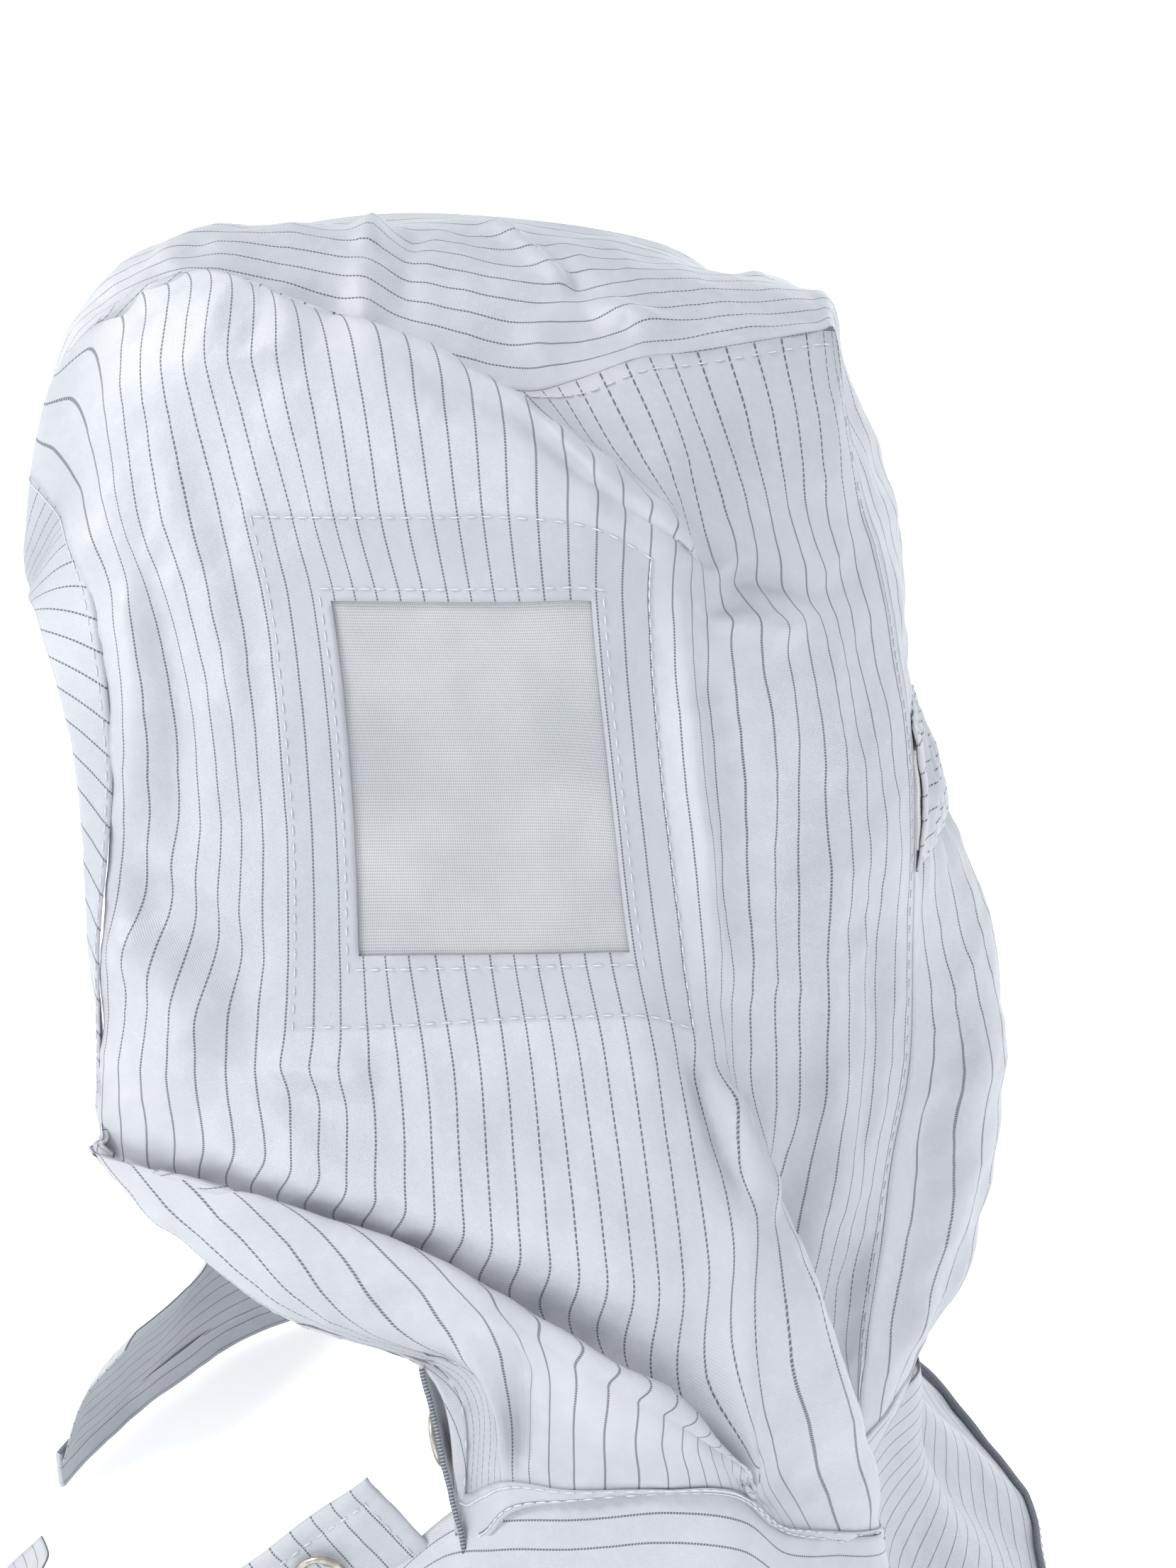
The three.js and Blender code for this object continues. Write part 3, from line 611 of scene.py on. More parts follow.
def left_relief(u, v, place):
    height = crumple(place, 26, 3.0) + crumple(place, 12, 1.1, 4.0) + crumple(place, 5.5, 0.28, 8.0)
    for (k0, v0), (k1, v1), width, tall in LEFT_FOLDS:
        height = height + 1.5 * fold(u, v, (stripe(k0), v0), (stripe(k1), v1), width, tall)
    edge = np.minimum(np.minimum(u, left_net.across[-1] - u), np.minimum(v, left_net.down[-1] - v))
    calm = np.clip(edge / 9.0, 0, 1)
    window = (
        np.clip((u - stripe(-3.4)) / 8, 0, 1) * np.clip((stripe(15.6) - u) / 8, 0, 1)
        * np.clip((v - 44) / 8, 0, 1) * np.clip((152 - v) / 8, 0, 1)
    )
    return height * calm * (1 - 0.45 * window)


print("folds:", len(LEFT_FOLDS))

# %% The left panel and its window
WINDOW = (stripe(0.8), stripe(11.8), 67.5, 133.0)
FACING = (stripe(-1.9), stripe(14.2), 51.0, 146.0)
HEM = 9.0
GRAIN_START = stripe(0) % STRIPE_PITCH
# This finish paints shade over the window facing, where the cloth is doubled.
panel_finish = striped_twill("striped_cloth_doubled_painted_shade", doubled_shade_box=(FACING[0] - GRAIN_START, FACING[1] - GRAIN_START,
                             FACING[2], FACING[3]))
left_across = evenly(HEM - 0.6, WINDOW[0], WINDOW[1], left_net.across[-1])
left_down = evenly(0, 33, WINDOW[2], WINDOW[3], 172, 240, 256)
left_panel = cloth("left_panel", left_net, left_across, left_down, panel_finish, relief=left_relief, hole=WINDOW,
                   start=(GRAIN_START, 0))
settle(left_panel, "hood", "striped_cloth", "left_side_panel")


def inner(depth):
    """The panel's own relief, that far inside it."""
    return lambda u, v, place: left_relief(u, v, place) - depth


facing_piece = cloth("left_facing", left_net, evenly(FACING[0], WINDOW[0] - 0.5, WINDOW[1] + 0.5, FACING[1], step=2),
                     evenly(FACING[2], WINDOW[2] - 0.5, WINDOW[3] + 0.5, FACING[3], step=2), cloth_finish,
                     relief=inner(0.9), thick=0.4, hole=(WINDOW[0] - 0.4, WINDOW[1] + 0.4, WINDOW[2] - 0.4,
                     WINDOW[3] + 0.4), start=(GRAIN_START, 0))
settle(facing_piece, "hood", "striped_cloth", "left_window_facing")


def mesh_sag(u, v, place):
    slack = np.sin(math.pi * (u - WINDOW[0]) / (WINDOW[1] - WINDOW[0])) * np.sin(
        math.pi * (v - WINDOW[2]) / (WINDOW[3] - WINDOW[2]))
    return left_relief(u, v, place) - 0.75 - 0.8 * np.clip(slack, 0, 1)


mesh_piece = cloth("left_mesh", left_net, evenly(WINDOW[0] - 4, WINDOW[1] + 4, step=2),
                   evenly(WINDOW[2] - 4, WINDOW[3] + 4, step=2), mesh_finish, relief=mesh_sag, thick=0.12)
settle(mesh_piece, "hood", "mesh_cloth", "left_window_mesh")


def frame_line(box, inset):
    left, right, top, bottom = box
    left, right, top, bottom = left + inset, right - inset, top + inset, bottom - inset
    return [(left, top), (right, top), (right, bottom), (left, bottom), (left, top)]


stitches("left_window_stitches", left_net, [frame_line(WINDOW, -2.4), frame_line(FACING, 0.8)],
         lambda u, v, p: left_relief(u, v, p) + 0.12)

# %% [markdown]
# ## Hems, throat and neck on the left
# The face edge is turned over twice and stitched, so its hem is a thicker band with a round fold at the edge.
# The same hem goes on under the chin and becomes the facing of the throat, which is turned in. The neck seam is
# felled: the seam allowances are folded under a narrow band with a row of stitches along each side.

# %% A folded band
def rounded_band(amount, width, start, across=True):
    """Height of a folded hem: thick in the middle and rounded off towards both sides."""
    def height(u, v, place):
        share = np.clip(((u if across else v) - start) / width, 0, 1)
        return amount * np.sqrt(np.clip(1 - (2 * share - 1) ** 4, 0, 1)) + 0.35 * crumple(place, 5, 1.0, 2.0)
    return height


def bias(obj, angle):
    """Turns the grain of a piece, for a hem that is a separate strip cut on the bias."""
    c, s = math.cos(angle), math.sin(angle)
    for spot in obj.data.uv_layers[0].data:
        a, b = spot.uv
        spot.uv = (a * c - b * s, a * s + b * c)


CHIN_START = ROW["above the crease"] + 4
THROAT_TOP = ROW["neck seam"] - 0.5
face_hem = cloth("left_face_band", left_net, evenly(0, HEM, step=0.8), evenly(0, CHIN_START, step=2), cloth_finish,
                 relief=rounded_band(0.55, HEM, 0), thick=1.1)
bias(face_hem, 0.9)
settle(face_hem, "hood", "striped_cloth", "left_face_hem")
chin_hem = cloth("left_chin_band", left_net, evenly(0, HEM, step=0.8), evenly(CHIN_START, THROAT_TOP, step=1.5),
                 cloth_finish, relief=rounded_band(0.5, HEM, 0), thick=1.1)
bias(chin_hem, 0.9)
settle(chin_hem, "hood", "striped_cloth", "left_chin_hem")

# %% Placket and neck band
THROAT_DOWN = Vector((0.252, -0.410, -0.878))
THROAT_FACE = Vector((-0.961, 0.0, -0.276))


def middle_of(node):
    low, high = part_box(node)
    return (low + high) / 2 / MM


def throat_net(centre, turn_in):
    """The facing that is turned in from a throat edge: from the edge inwards, and down."""
    return Net([0, 14], [0, 11, 23, 34], [
        [tuple(centre + THROAT_DOWN * down - turn_in * 7), tuple(centre + THROAT_DOWN * down + turn_in * 7)]
        for down in (-17, -6, 6, 17)])


left_placket_net = throat_net(middle_of("placket_snap_ring") - THROAT_FACE * 0.9, Vector((0, 1, 0)))


def placket_ripple(u, v, place):
    return 0.5 * np.sin(v / 4.2) * np.sin(u / 5) + crumple(place, 8, 0.6)


left_placket = cloth("left_throat_facing", left_placket_net, evenly(0, 14, step=1), evenly(0, 34, step=1),
                     cloth_finish, relief=placket_ripple, thick=1.0, inside_out=True)
settle(left_placket, "hood", "striped_cloth", "left_placket")
BAND = 5.0


def band_height(u, v, place):
    share = np.clip((v - (256 - BAND)) / BAND, 0, 1)
    return left_relief(u, v, place) + 0.45 + 0.3 * np.sqrt(np.clip(1 - (2 * share - 1) ** 4, 0, 1))


neck_band = cloth("left_neck_fell", left_net, evenly(0, left_net.across[-1], step=1.5),
                  evenly(256 - BAND, 256, step=0.7), cloth_finish, relief=band_height, thick=1.0, turned=True)
settle(neck_band, "hood", "striped_cloth", "left_neck_band")
stitches("left_neck_stitches", left_net, [
    [(4, 256 - BAND + 0.9), (188, 256 - BAND + 0.9)], [(4, 255.1), (188, 255.1)]],
    lambda u, v, p: band_height(u, v, p) + 0.1)
stitches("left_face_stitches", left_net, [[(HEM - 1.2, 2), (HEM - 1.2, THROAT_TOP)]],
         lambda u, v, p: rounded_band(0.5, HEM, 0)(u, v, p) + 0.12)
stitches("left_back_seam_stitches", left_net, [
    [(188.6, 2), (188.6, 250)]], lambda u, v, p: left_relief(u, v, p) + 0.12)
stitches("crown_seam_stitches", left_net, [[(60, 1.0), (186, 1.0)]],
         lambda u, v, p: left_relief(u, v, p) + 0.12)

# %% [markdown]
# ## Centre strip
# One strip runs from the forehead over the crown and down the back to the neck, with its stripes along it. Its
# left edge is the left panel's own crown and back seams, so the two meet without a gap.

# %% The net of the centre strip
def part_place(f, s, h):
    """A place on the hood: shares of its 190 mm depth and breadth, and of its 240 mm height above the neck."""
    return np.array([f * 190, s * 190, 97 + h * 240], float)


RIGHT_COLUMNS = [
    [(-0.5, 0.0, 0.725), (-0.49, 0.13, 0.617), (-0.453, 0.22, 0.47), (-0.42, 0.285, 0.325), (-0.4, 0.326, 0.22)],
    [(-0.47, -0.005, 0.875), (-0.455, 0.13, 0.72), (-0.415, 0.25, 0.495), (-0.375, 0.31, 0.305),
        (-0.355, 0.35, 0.19)],
    [(-0.36, -0.03, 0.965), (-0.39, 0.16, 0.8), (-0.347, 0.285, 0.52), (-0.305, 0.337, 0.283),
        (-0.285, 0.38, 0.146)],
    [(-0.18, -0.04, 1.0), (-0.2, 0.2, 0.81), (-0.18, 0.337, 0.52), (-0.147, 0.39, 0.24), (-0.06, 0.442, 0.096)],
    [(0.01, -0.02, 0.998), (0, 0.22, 0.8), (0, 0.368, 0.504), (0.01, 0.42, 0.22), (-0.03, 0.474, 0)],
    [(0.17, 0.0, 0.975), (0.18, 0.22, 0.78), (0.2, 0.358, 0.487), (0.21, 0.42, 0.22), (0.19, 0.516, 0.004)],
    [(0.275, 0.086, 0.917), (0.326, 0.2, 0.72), (0.358, 0.284, 0.48), (0.347, 0.347, 0.22),
        (0.337, 0.442, -0.054)],
    [(0.316, 0.12, 0.895), (0.416, 0.11, 0.66), (0.445, 0.105, 0.45), (0.464, 0.12, 0.2), (0.45, 0.12, -0.09)],
]
right_rows = [[tuple(part_place(*column[row])) for column in RIGHT_COLUMNS] for row in range(5)]
right_net = Net([0, 27, 54, 81, 109, 136, 175, 190], [0, 65, 139, 207, 248], right_rows)

STRIP_LENGTHS = [0, 28, 52, 82, 124, 158, 190, 232, 278, 336, 398, 436]
STRIP_WIDTH = 54.0
LEFT_SEAM = [(stripe(k), 0) for k in (-11.5, -9, -3, 3, 12, 17.5, 26.5)]
LEFT_SEAM += [(left_net.across[-1], LEFT_ROWS[row][0]) for row in (3, 6, 8, 11, 15)]
RIGHT_SEAM = [(u, 0) for u in (0, 27, 54, 81, 109, 136, 190)] + [(190, v) for v in (36, 90, 172, 224, 248)]
BULGE = [(-2, -1, 4), (-2, -2, 5), (0, -3, 6), (0, -3, 6), (0, -3, 5), (0, -3, 5), (2, -3, 8), (9, 0, 3),
         (3, 0, 0), (25, -2, 0), (27, -3, 0), (12, 0, 0)]
along_strip = evenly(*STRIP_LENGTHS, step=6)
seam_u, seam_v = (np.interp(along_strip, STRIP_LENGTHS, values) for values in zip(*LEFT_SEAM))
left_edge = left_net.at(seam_u, seam_v)
right_edge = right_net.at(*(np.interp(along_strip, STRIP_LENGTHS, values) for values in zip(*RIGHT_SEAM)))
middle_line = (left_edge + right_edge) / 2 + smooth_curve(STRIP_LENGTHS, np.array(BULGE, float), along_strip)
strip_net = Net([0, STRIP_WIDTH / 2, STRIP_WIDTH], along_strip, np.stack([left_edge, middle_line, right_edge], 1))
STRIP_FOLDS = [
    ((2, 96), (24, 92), 3.0, 2.2), ((20, 93), (44, 90), 3.0, 2.6), ((4, 102), (46, 99), 3.2, -1.8),
    ((50, 112), (22, 138), 2.6, 2.6), ((24, 136), (6, 168), 2.8, 2.2), ((46, 120), (12, 150), 3.4, -1.8),
    ((14, 40), (50, 56), 5.0, 1.4), ((10, 60), (44, 74), 4.5, -1.2), ((30, 170), (44, 190), 4.0, 2.0),
    ((10, 196), (34, 226), 4.0, 1.4), ((36, 200), (20, 250), 5.0, -1.4), ((14, 330), (10, 420), 4.5, 3.0),
    ((26, 320), (28, 420), 5.0, -2.6), ((40, 330), (42, 424), 4.5, 2.6), ((6, 345), (4, 415), 2.5, -1.2),
]
back_stations = np.arange(240.0, 400.0)
back_heights = strip_net.at(np.full(len(back_stations), STRIP_WIDTH / 2), back_stations)[:, 2]
STRAP_MIDDLE = back_stations[np.argmin(np.abs(back_heights - middle_of("back_casing").z))]
STRAP = (STRAP_MIDDLE - 14, STRAP_MIDDLE + 14)
print("strap at", STRAP_MIDDLE, "mm along the strip")


def strip_relief(u, v, place):
    height = crumple(place, 24, 3.0, 7.0) + crumple(place, 10, 1.0, 9.0)
    for start, end, width, tall in STRIP_FOLDS:
        height = height + fold(u, v, start, end, width, tall)
    near_strap = np.exp(-((np.abs(v - STRAP_MIDDLE) / 22) ** 2))
    height = height + 1.0 * near_strap * np.sin(2 * math.pi * u / 6.0 + 0.6 * np.sin(v / 9))
    edge = np.minimum(np.minimum(u, STRIP_WIDTH - u), np.minimum(v, strip_net.down[-1] - v))
    return height * np.clip(edge / 6.0, 0, 1)


NECK_FELL = 8.0
strip_end = strip_net.down[-1]
crown = cloth("crown_and_back", strip_net, evenly(0, STRIP_WIDTH, step=1.3),
              evenly(HEM - 0.6, strip_end - NECK_FELL + 0.6, step=1.5), cloth_finish, relief=strip_relief)
settle(crown, "hood", "striped_cloth", "centre_strip")
forehead = cloth("forehead_band", strip_net, evenly(0, STRIP_WIDTH, step=1.2), evenly(0, HEM, step=0.8),
                 cloth_finish, relief=rounded_band(0.5, HEM, 0, False), thick=1.1)
settle(forehead, "hood", "striped_cloth", "top_face_hem")
back_fell = cloth("back_neck_fell", strip_net, evenly(0, STRIP_WIDTH, step=1.3),
                  evenly(strip_end - NECK_FELL, strip_end, step=0.8), cloth_finish,
                  relief=lambda u, v, p: 0.6 + strip_relief(u, v, p), thick=1.0, turned=True)
settle(back_fell, "hood", "striped_cloth", "back_neck_band")
stitches("forehead_stitches", strip_net, [[(1, HEM - 1.2), (STRIP_WIDTH - 1, HEM - 1.2)]],
         lambda u, v, p: rounded_band(0.5, HEM, 0, False)(u, v, p) + 0.12)

# %% [markdown]
# ## The strap across the back of the head
# A strip of cloth is sewn across the back with elastic inside, which gathers it and the strip below it. The
# casing is a tube squashed flat: two layers with the elastic between them, pulled into small ruffles.

# %% Casing and elastic
def ruffled(amount, lift):
    def height(u, v, place):
        across = np.clip(1 - np.abs(v - STRAP_MIDDLE) / 14.4, 0, 1) ** 0.35
        across = across * (0.2 + 0.8 * np.clip(np.minimum(u, STRIP_WIDTH - u) / 5, 0, 1) ** 0.6)
        puff = np.sin(2 * math.pi * (u + 0.12 * (v - STRAP_MIDDLE) * np.sin(u / 7)) / 5.4)
        return lift * across + amount * across * (puff + 0.4 * np.sin(2 * math.pi * u / 2.9)) + crumple(place, 6, 0.7)
    return height


casing = cloth("strap_casing", strip_net, evenly(0.5, STRIP_WIDTH - 0.5, step=0.6), evenly(*STRAP, step=0.8),
               cloth_finish, relief=ruffled(0.75, 3.7), thick=0.45, turned=True)
settle(casing, "hood", "striped_cloth", "back_casing")
elastic = cloth("strap_elastic", strip_net, evenly(1.0, STRIP_WIDTH - 1.0, step=1), evenly(STRAP_MIDDLE - 10, STRAP_MIDDLE + 10, step=1),
                band_finish, relief=ruffled(0.25, 1.6), thick=0.9)
settle(elastic, "hood", "elastic", "back_elastic")
stitches("strap_stitches", strip_net, [[(1, STRAP[0] + 1.6), (53, STRAP[0] + 1.6)], [(1, STRAP[1] - 1.6), (53, STRAP[1] - 1.6)]],
         lambda u, v, p: ruffled(0.75, 3.7)(u, v, p) + 0.1, pitch=2.8)

# %% [markdown]
# ## Right side panel
# The far side is cut from the same pattern as the near one, but the wearer's head pushes it out less unevenly, so
# a smaller net holds it. It is seen from outside at the back and right, and from inside through the throat.

# %% The right panel and its window
RIGHT_WINDOW = (79.5, 127.5, 74.0, 140.0)
RIGHT_FACING = (64.0, 143.0, 58.0, 156.0)
RIGHT_FOLDS = [
    ((20, 40), (70, 52), 6.0, 2.4), ((30, 52), (90, 60), 6.0, -1.8), ((150, 30), (120, 70), 6.0, 2.0),
    ((30, 160), (90, 178), 6.0, 2.4), ((20, 172), (100, 196), 6.0, -2.2), ((60, 196), (130, 214), 7.0, 2.2),
    ((150, 110), (156, 220), 5.0, 2.2), ((164, 90), (168, 210), 4.0, -1.8), ((40, 90), (44, 150), 5.0, 1.6),
    ((110, 190), (170, 228), 6.0, -2.0), ((130, 180), (180, 214), 5.0, 1.8), ((14, 80), (16, 170), 4.0, 1.4),
]


def right_relief(u, v, place):
    height = crumple(place, 26, 2.0, 20.0) + crumple(place, 11, 0.6, 24.0)
    for start, end, width, tall in RIGHT_FOLDS:
        height = height + fold(u, v, start, end, width, tall)
    edge = np.minimum(np.minimum(u, 190 - u), np.minimum(v, 248 - v))
    return height * np.clip(edge / 8.0, 0, 1)


# This finish paints shade over the window facing, where the cloth is doubled.
right_finish = striped_twill("striped_cloth_doubled_painted_shade_right", doubled_shade_box=RIGHT_FACING)
right_panel = cloth("right_panel", right_net, evenly(HEM - 0.6, RIGHT_WINDOW[0], RIGHT_WINDOW[1], 190, step=1.5),
                    evenly(0, RIGHT_WINDOW[2], RIGHT_WINDOW[3], 248, step=1.5), right_finish, relief=right_relief,
                    hole=RIGHT_WINDOW, inside_out=True)
settle(right_panel, "hood", "striped_cloth", "right_side_panel")
right_facing = cloth("right_facing", right_net,
                     evenly(RIGHT_FACING[0], RIGHT_WINDOW[0] - 0.5, RIGHT_WINDOW[1] + 0.5, RIGHT_FACING[1], step=2),
                     evenly(RIGHT_FACING[2], RIGHT_WINDOW[2] - 0.5, RIGHT_WINDOW[3] + 0.5, RIGHT_FACING[3], step=2),
                     cloth_finish, relief=lambda u, v, p: right_relief(u, v, p) - 0.9, thick=0.4, inside_out=True,
                     hole=(RIGHT_WINDOW[0] - 0.4, RIGHT_WINDOW[1] + 0.4, RIGHT_WINDOW[2] - 0.4, RIGHT_WINDOW[3] + 0.4))
settle(right_facing, "hood", "striped_cloth", "right_window_facing")
right_mesh = cloth("right_mesh", right_net, evenly(RIGHT_WINDOW[0] - 4, RIGHT_WINDOW[1] + 4, step=2),
                   evenly(RIGHT_WINDOW[2] - 4, RIGHT_WINDOW[3] + 4, step=2), mesh_finish, thick=0.12,
                   relief=lambda u, v, p: right_relief(u, v, p) - 0.9, inside_out=True)
settle(right_mesh, "hood", "mesh_cloth", "right_window_mesh")
stitches("right_window_stitches", right_net, [frame_line(RIGHT_WINDOW, -2.4), frame_line(RIGHT_FACING, 0.8)],
         lambda u, v, p: right_relief(u, v, p) + 0.12, inside_out=True)

# %% Hems, throat and neck on the right
NECK_FRONT, CHIN_BACK = 109.0, 84.0
right_face_hem = cloth("right_face_band", right_net, evenly(0, HEM, step=0.8), evenly(0, 248, step=2), cloth_finish,
                       relief=rounded_band(0.55, HEM, 0), thick=1.1, inside_out=True)
bias(right_face_hem, 0.9)
settle(right_face_hem, "hood", "striped_cloth", "right_face_hem")
right_chin_hem = cloth("right_chin_band", right_net, evenly(HEM, CHIN_BACK, step=1.5), evenly(248 - HEM, 248, step=0.8),
                       cloth_finish, relief=lambda u, v, p: 0.3 + rounded_band(0.5, HEM, 248 - HEM, False)(u, v, p),
                       thick=1.1, inside_out=True)
bias(right_chin_hem, 0.9)
settle(right_chin_hem, "hood", "striped_cloth", "right_chin_hem")
right_neck = cloth("right_neck_fell", right_net, evenly(NECK_FRONT - 10, 190, step=1.5), evenly(248 - 3, 248, step=0.5),
                   cloth_finish, relief=lambda u, v, p: right_relief(u, v, p) + 0.7, thick=1.0, turned=True,
                   inside_out=True)
settle(right_neck, "hood", "striped_cloth", "right_neck_band")
low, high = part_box("right_placket")
right_centre = Vector(((low.x + high.x) / 2 / MM, (low.y + high.y) / 2 / MM, (low.z + high.z) / 2 / MM))
right_placket_net = Net([0, 14], [0, 14, 28], [
    [(right_centre.x - 2, right_centre.y - 7, right_centre.z + 14), (right_centre.x - 2, right_centre.y + 5, right_centre.z + 14)],
    [(right_centre.x, right_centre.y - 6, right_centre.z), (right_centre.x, right_centre.y + 7, right_centre.z)],
    [(right_centre.x + 2, right_centre.y - 4, right_centre.z - 14), (right_centre.x + 2, right_centre.y + 9, right_centre.z - 14)]])
right_placket = cloth("right_throat_facing", right_placket_net, evenly(0, 14, step=1), evenly(0, 28, step=1),
                      cloth_finish, relief=placket_ripple, thick=1.0, inside_out=True)
settle(right_placket, "hood", "striped_cloth", "right_placket")
stitches("right_hem_stitches", right_net, [
    [(HEM - 1.2, 2), (HEM - 1.2, 246)], [(HEM, 248 - HEM + 1.2), (CHIN_BACK, 248 - HEM + 1.2)]],
    lambda u, v, p: 0.95 + 0 * u, inside_out=True)
stitches("right_neck_stitches", right_net, [[(NECK_FRONT - 8, 243), (188, 243)], [(NECK_FRONT - 8, 247), (188, 247)]],
         lambda u, v, p: right_relief(u, v, p) + 0.8, inside_out=True)
stitches("right_back_seam_stitches", right_net, [[(188.6, 2), (188.6, 244)], [(185.6, 2), (185.6, 244)]],
         lambda u, v, p: right_relief(u, v, p) + 0.12, inside_out=True)

# %% [markdown]
# ## Shawl
# The shawl hangs from the neck seam to an oval hem, and is open at the front. Its stripes run round it, level
# with the neck. Loose cloth falls in soft flutes that grow towards the hem, so each panel gets a few of them.

# %% The shawl's hem line and panels
HEM_MIDDLE, HEM_HALF_DEPTH, HEM_HALF_BREADTH = -1.46, 134.0, 145.0


def hem_place(angle, z, inset=1.2):
    """A place on the hem's oval. The angle is from the middle of the back, positive to the right."""
    a = math.radians(angle)
    return (HEM_MIDDLE + (HEM_HALF_DEPTH - inset) * math.cos(a), (HEM_HALF_BREADTH - inset) * math.sin(a), z)


def flutes(u, v, place):
    """Soft flutes that start below the neck and are calmer again at the hem."""
    turn = np.degrees(np.arctan2(place[:, 1], place[:, 0]))
    drop = np.clip((100 - place[:, 2]) / 90, 0, 1)
    wave = np.sin(np.radians(turn * 11) + 1.6 * np.sin(np.radians(turn * 3.0)))
    return (2.6 * wave * np.sin(math.pi * np.clip(drop, 0, 1) ** 0.8) + 0.9 * wave * drop) + crumple(place, 20, 1.4, 30)


def flutes_between(net):
    """The flutes, faded out at a panel's two side edges, so that it meets its neighbours without a slit."""
    def height(u, v, place):
        return flutes(u, v, place) * np.clip(np.minimum(u, net.across[-1] - u) / 7, 0, 1)
    return height


def shawl_net(top, angles, drop=101.0, low=10.4):
    """From a row of points at the top, over a slight swell, to the hem."""
    top = np.array(top, float)
    foot = np.array([hem_place(angle, low) for angle in angles])
    swell = np.array([(math.cos(math.radians(a)), math.sin(math.radians(a)), 0) for a in angles])
    swell = swell * (4 - 17 * np.exp(-((np.array(angles) / 48) ** 2)))[:, None]
    middle = top * 0.55 + foot * 0.45 + swell
    across = np.concatenate([[0], np.cumsum(np.linalg.norm(np.diff((top + foot) / 2, axis=0), axis=1))])
    return Net(across, [0, drop * 0.46, drop], np.stack([top, middle, foot]))


def angles_between(first, last, count):
    return [first + (last - first) * i / (count - 1) for i in range(count)]


def seam_line(net, first, last, count, v, sink):
    """Points evenly spaced along a net's neck seam, sunk below its surface, so that the shawl starts under it."""
    u = np.linspace(first, last, 200)
    line = net.at(u, np.full(200, v))
    run = np.concatenate([[0], np.cumsum(np.linalg.norm(np.diff(line, axis=0), axis=1))])
    u = np.interp(np.linspace(0, run[-1], count), run, u)
    v = np.full(count, v)
    return [tuple(p) for p in net.at(u, v) - net.outward(u, v) * sink]


back_top = seam_line(strip_net, 0, STRIP_WIDTH, 5, strip_end - 3, 1.2)
left_top = [(-58, -114, 64), (-33, -109.5, 80)] + seam_line(left_net, 0, left_net.across[-1], 10, 253, 1.2)
right_top = seam_line(right_net, 190, NECK_FRONT - 8, 8, 245, -1.2) + [(-33, 104, 80), (-58, 114, 64)]
FOLD_ANGLE, EDGE_ANGLE = 125.0, 168.0
wings = {
    "left": shawl_net(left_top, angles_between(-FOLD_ANGLE, -35, len(left_top))),
    "right": shawl_net(right_top, angles_between(28, FOLD_ANGLE, len(right_top))),
    "back": shawl_net(back_top, angles_between(-35, 28, 5)),
}
for name, net in wings.items():
    piece = cloth("shawl_" + name + "_drape", net, evenly(0, net.across[-1], step=1.8),
                  evenly(0, net.down[-1], step=1.8), cloth_finish, relief=flutes_between(net), turned=True)
    settle(piece, "hood", "striped_cloth", "shawl_" + name)
print("shawl widths, mm:", {name: round(net.across[-1]) for name, net in wings.items()})

# %% The fronts of the shawl, and a fold line worked out for them
FOLD_TOP, FOLD_FOOT = Vector((-58, -114, 64)), Vector((-77.6, -117.8, 0))


def mirrored(place, side):
    return Vector((place[0], place[1] * -side, place[2]))


fronts = {}
for side, name in ((-1, "left"), (1, "right")):
    row = [(-114, side * 38, 40.7), (-93.6, side * 87.4, 50.4), (-58, side * 114, 64)]
    turn = [side * EDGE_ANGLE, side * (EDGE_ANGLE + FOLD_ANGLE) / 2, side * FOLD_ANGLE]
    if side == 1:
        row, turn = row[::-1], turn[::-1]
    net = fronts[name] = shawl_net(row, turn, drop=52.0)
    body = "shawl_front_" + name
    line = (FOLD_FOOT - FOLD_TOP).normalized()
    away = Vector((-0.85, 0.52, 0.0))
    away = (away - line * away.dot(line)).normalized()
    middle = (FOLD_TOP + FOLD_FOOT) / 2
    near, far = mirrored(middle + away * 3, side), mirrored(middle + away * 13, side)
    fronts[name + "_bend"] = near * MM, far * MM
    front = cloth("shawl_" + name + "_front_drape", net, evenly(0, net.across[-1], step=1.6),
                  evenly(0, net.down[-1], step=1.6), cloth_finish, relief=flutes_between(net), turned=True)
    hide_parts(body)
    fronts[name + "_piece"] = front
    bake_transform(front)

# %% Hems of the shawl
def hem_band(name, first, last, top, low, body, node, clear=(1, 1)):
    """A folded hem on the floor, between two angles."""
    angles = angles_between(first, last, max(4, round(abs(last - first) / 8)))
    line = np.array([hem_place(angle, 0) for angle in angles])
    across = np.concatenate([[0], np.cumsum(np.linalg.norm(np.diff(line, axis=0), axis=1))])
    upper = line + np.array([0, 0, top])
    net = Net(across, [0, top - low], np.stack([upper, line + np.array([0, 0, low])]))

    def height(u, v, place):
        share = np.clip(v / (top - low), 0, 1)
        return flutes(u, v, place) + 0.6 * np.sqrt(np.clip(1 - (2 * share - 1) ** 4, 0, 1))

    piece = cloth(name, net, evenly(0, across[-1], step=1.8), evenly(0, top - low, step=0.8), cloth_finish,
                  relief=height, thick=1.5, turned=True)
    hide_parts(node)
    sewn = stitches(name + "_stitches", net, [[(clear[0], 1.6), (across[-1] - clear[1], 1.6)]],
                    lambda u, v, p: height(u, v, p) + 0.12, body=body)
    return piece, sewn, net


hem_piece, hem_sewn, hem_net = hem_band("shawl_hem_band", -FOLD_ANGLE, FOLD_ANGLE, 13.5, 0.6, "hood", "shawl_hem")
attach(hem_piece, "hood")
for side, name in ((-1, "left"), (1, "right")):
    ends = (-EDGE_ANGLE, -FOLD_ANGLE) if side < 0 else (FOLD_ANGLE, EDGE_ANGLE)
    body = "shawl_front_" + name
    piece, sewn, net = hem_band("shawl_" + name + "_front_hem", *ends, 13.5, 2.2, body, "front_hem_" + name,
                                clear=(1, 15) if side < 0 else (15, 1))
    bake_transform(piece)

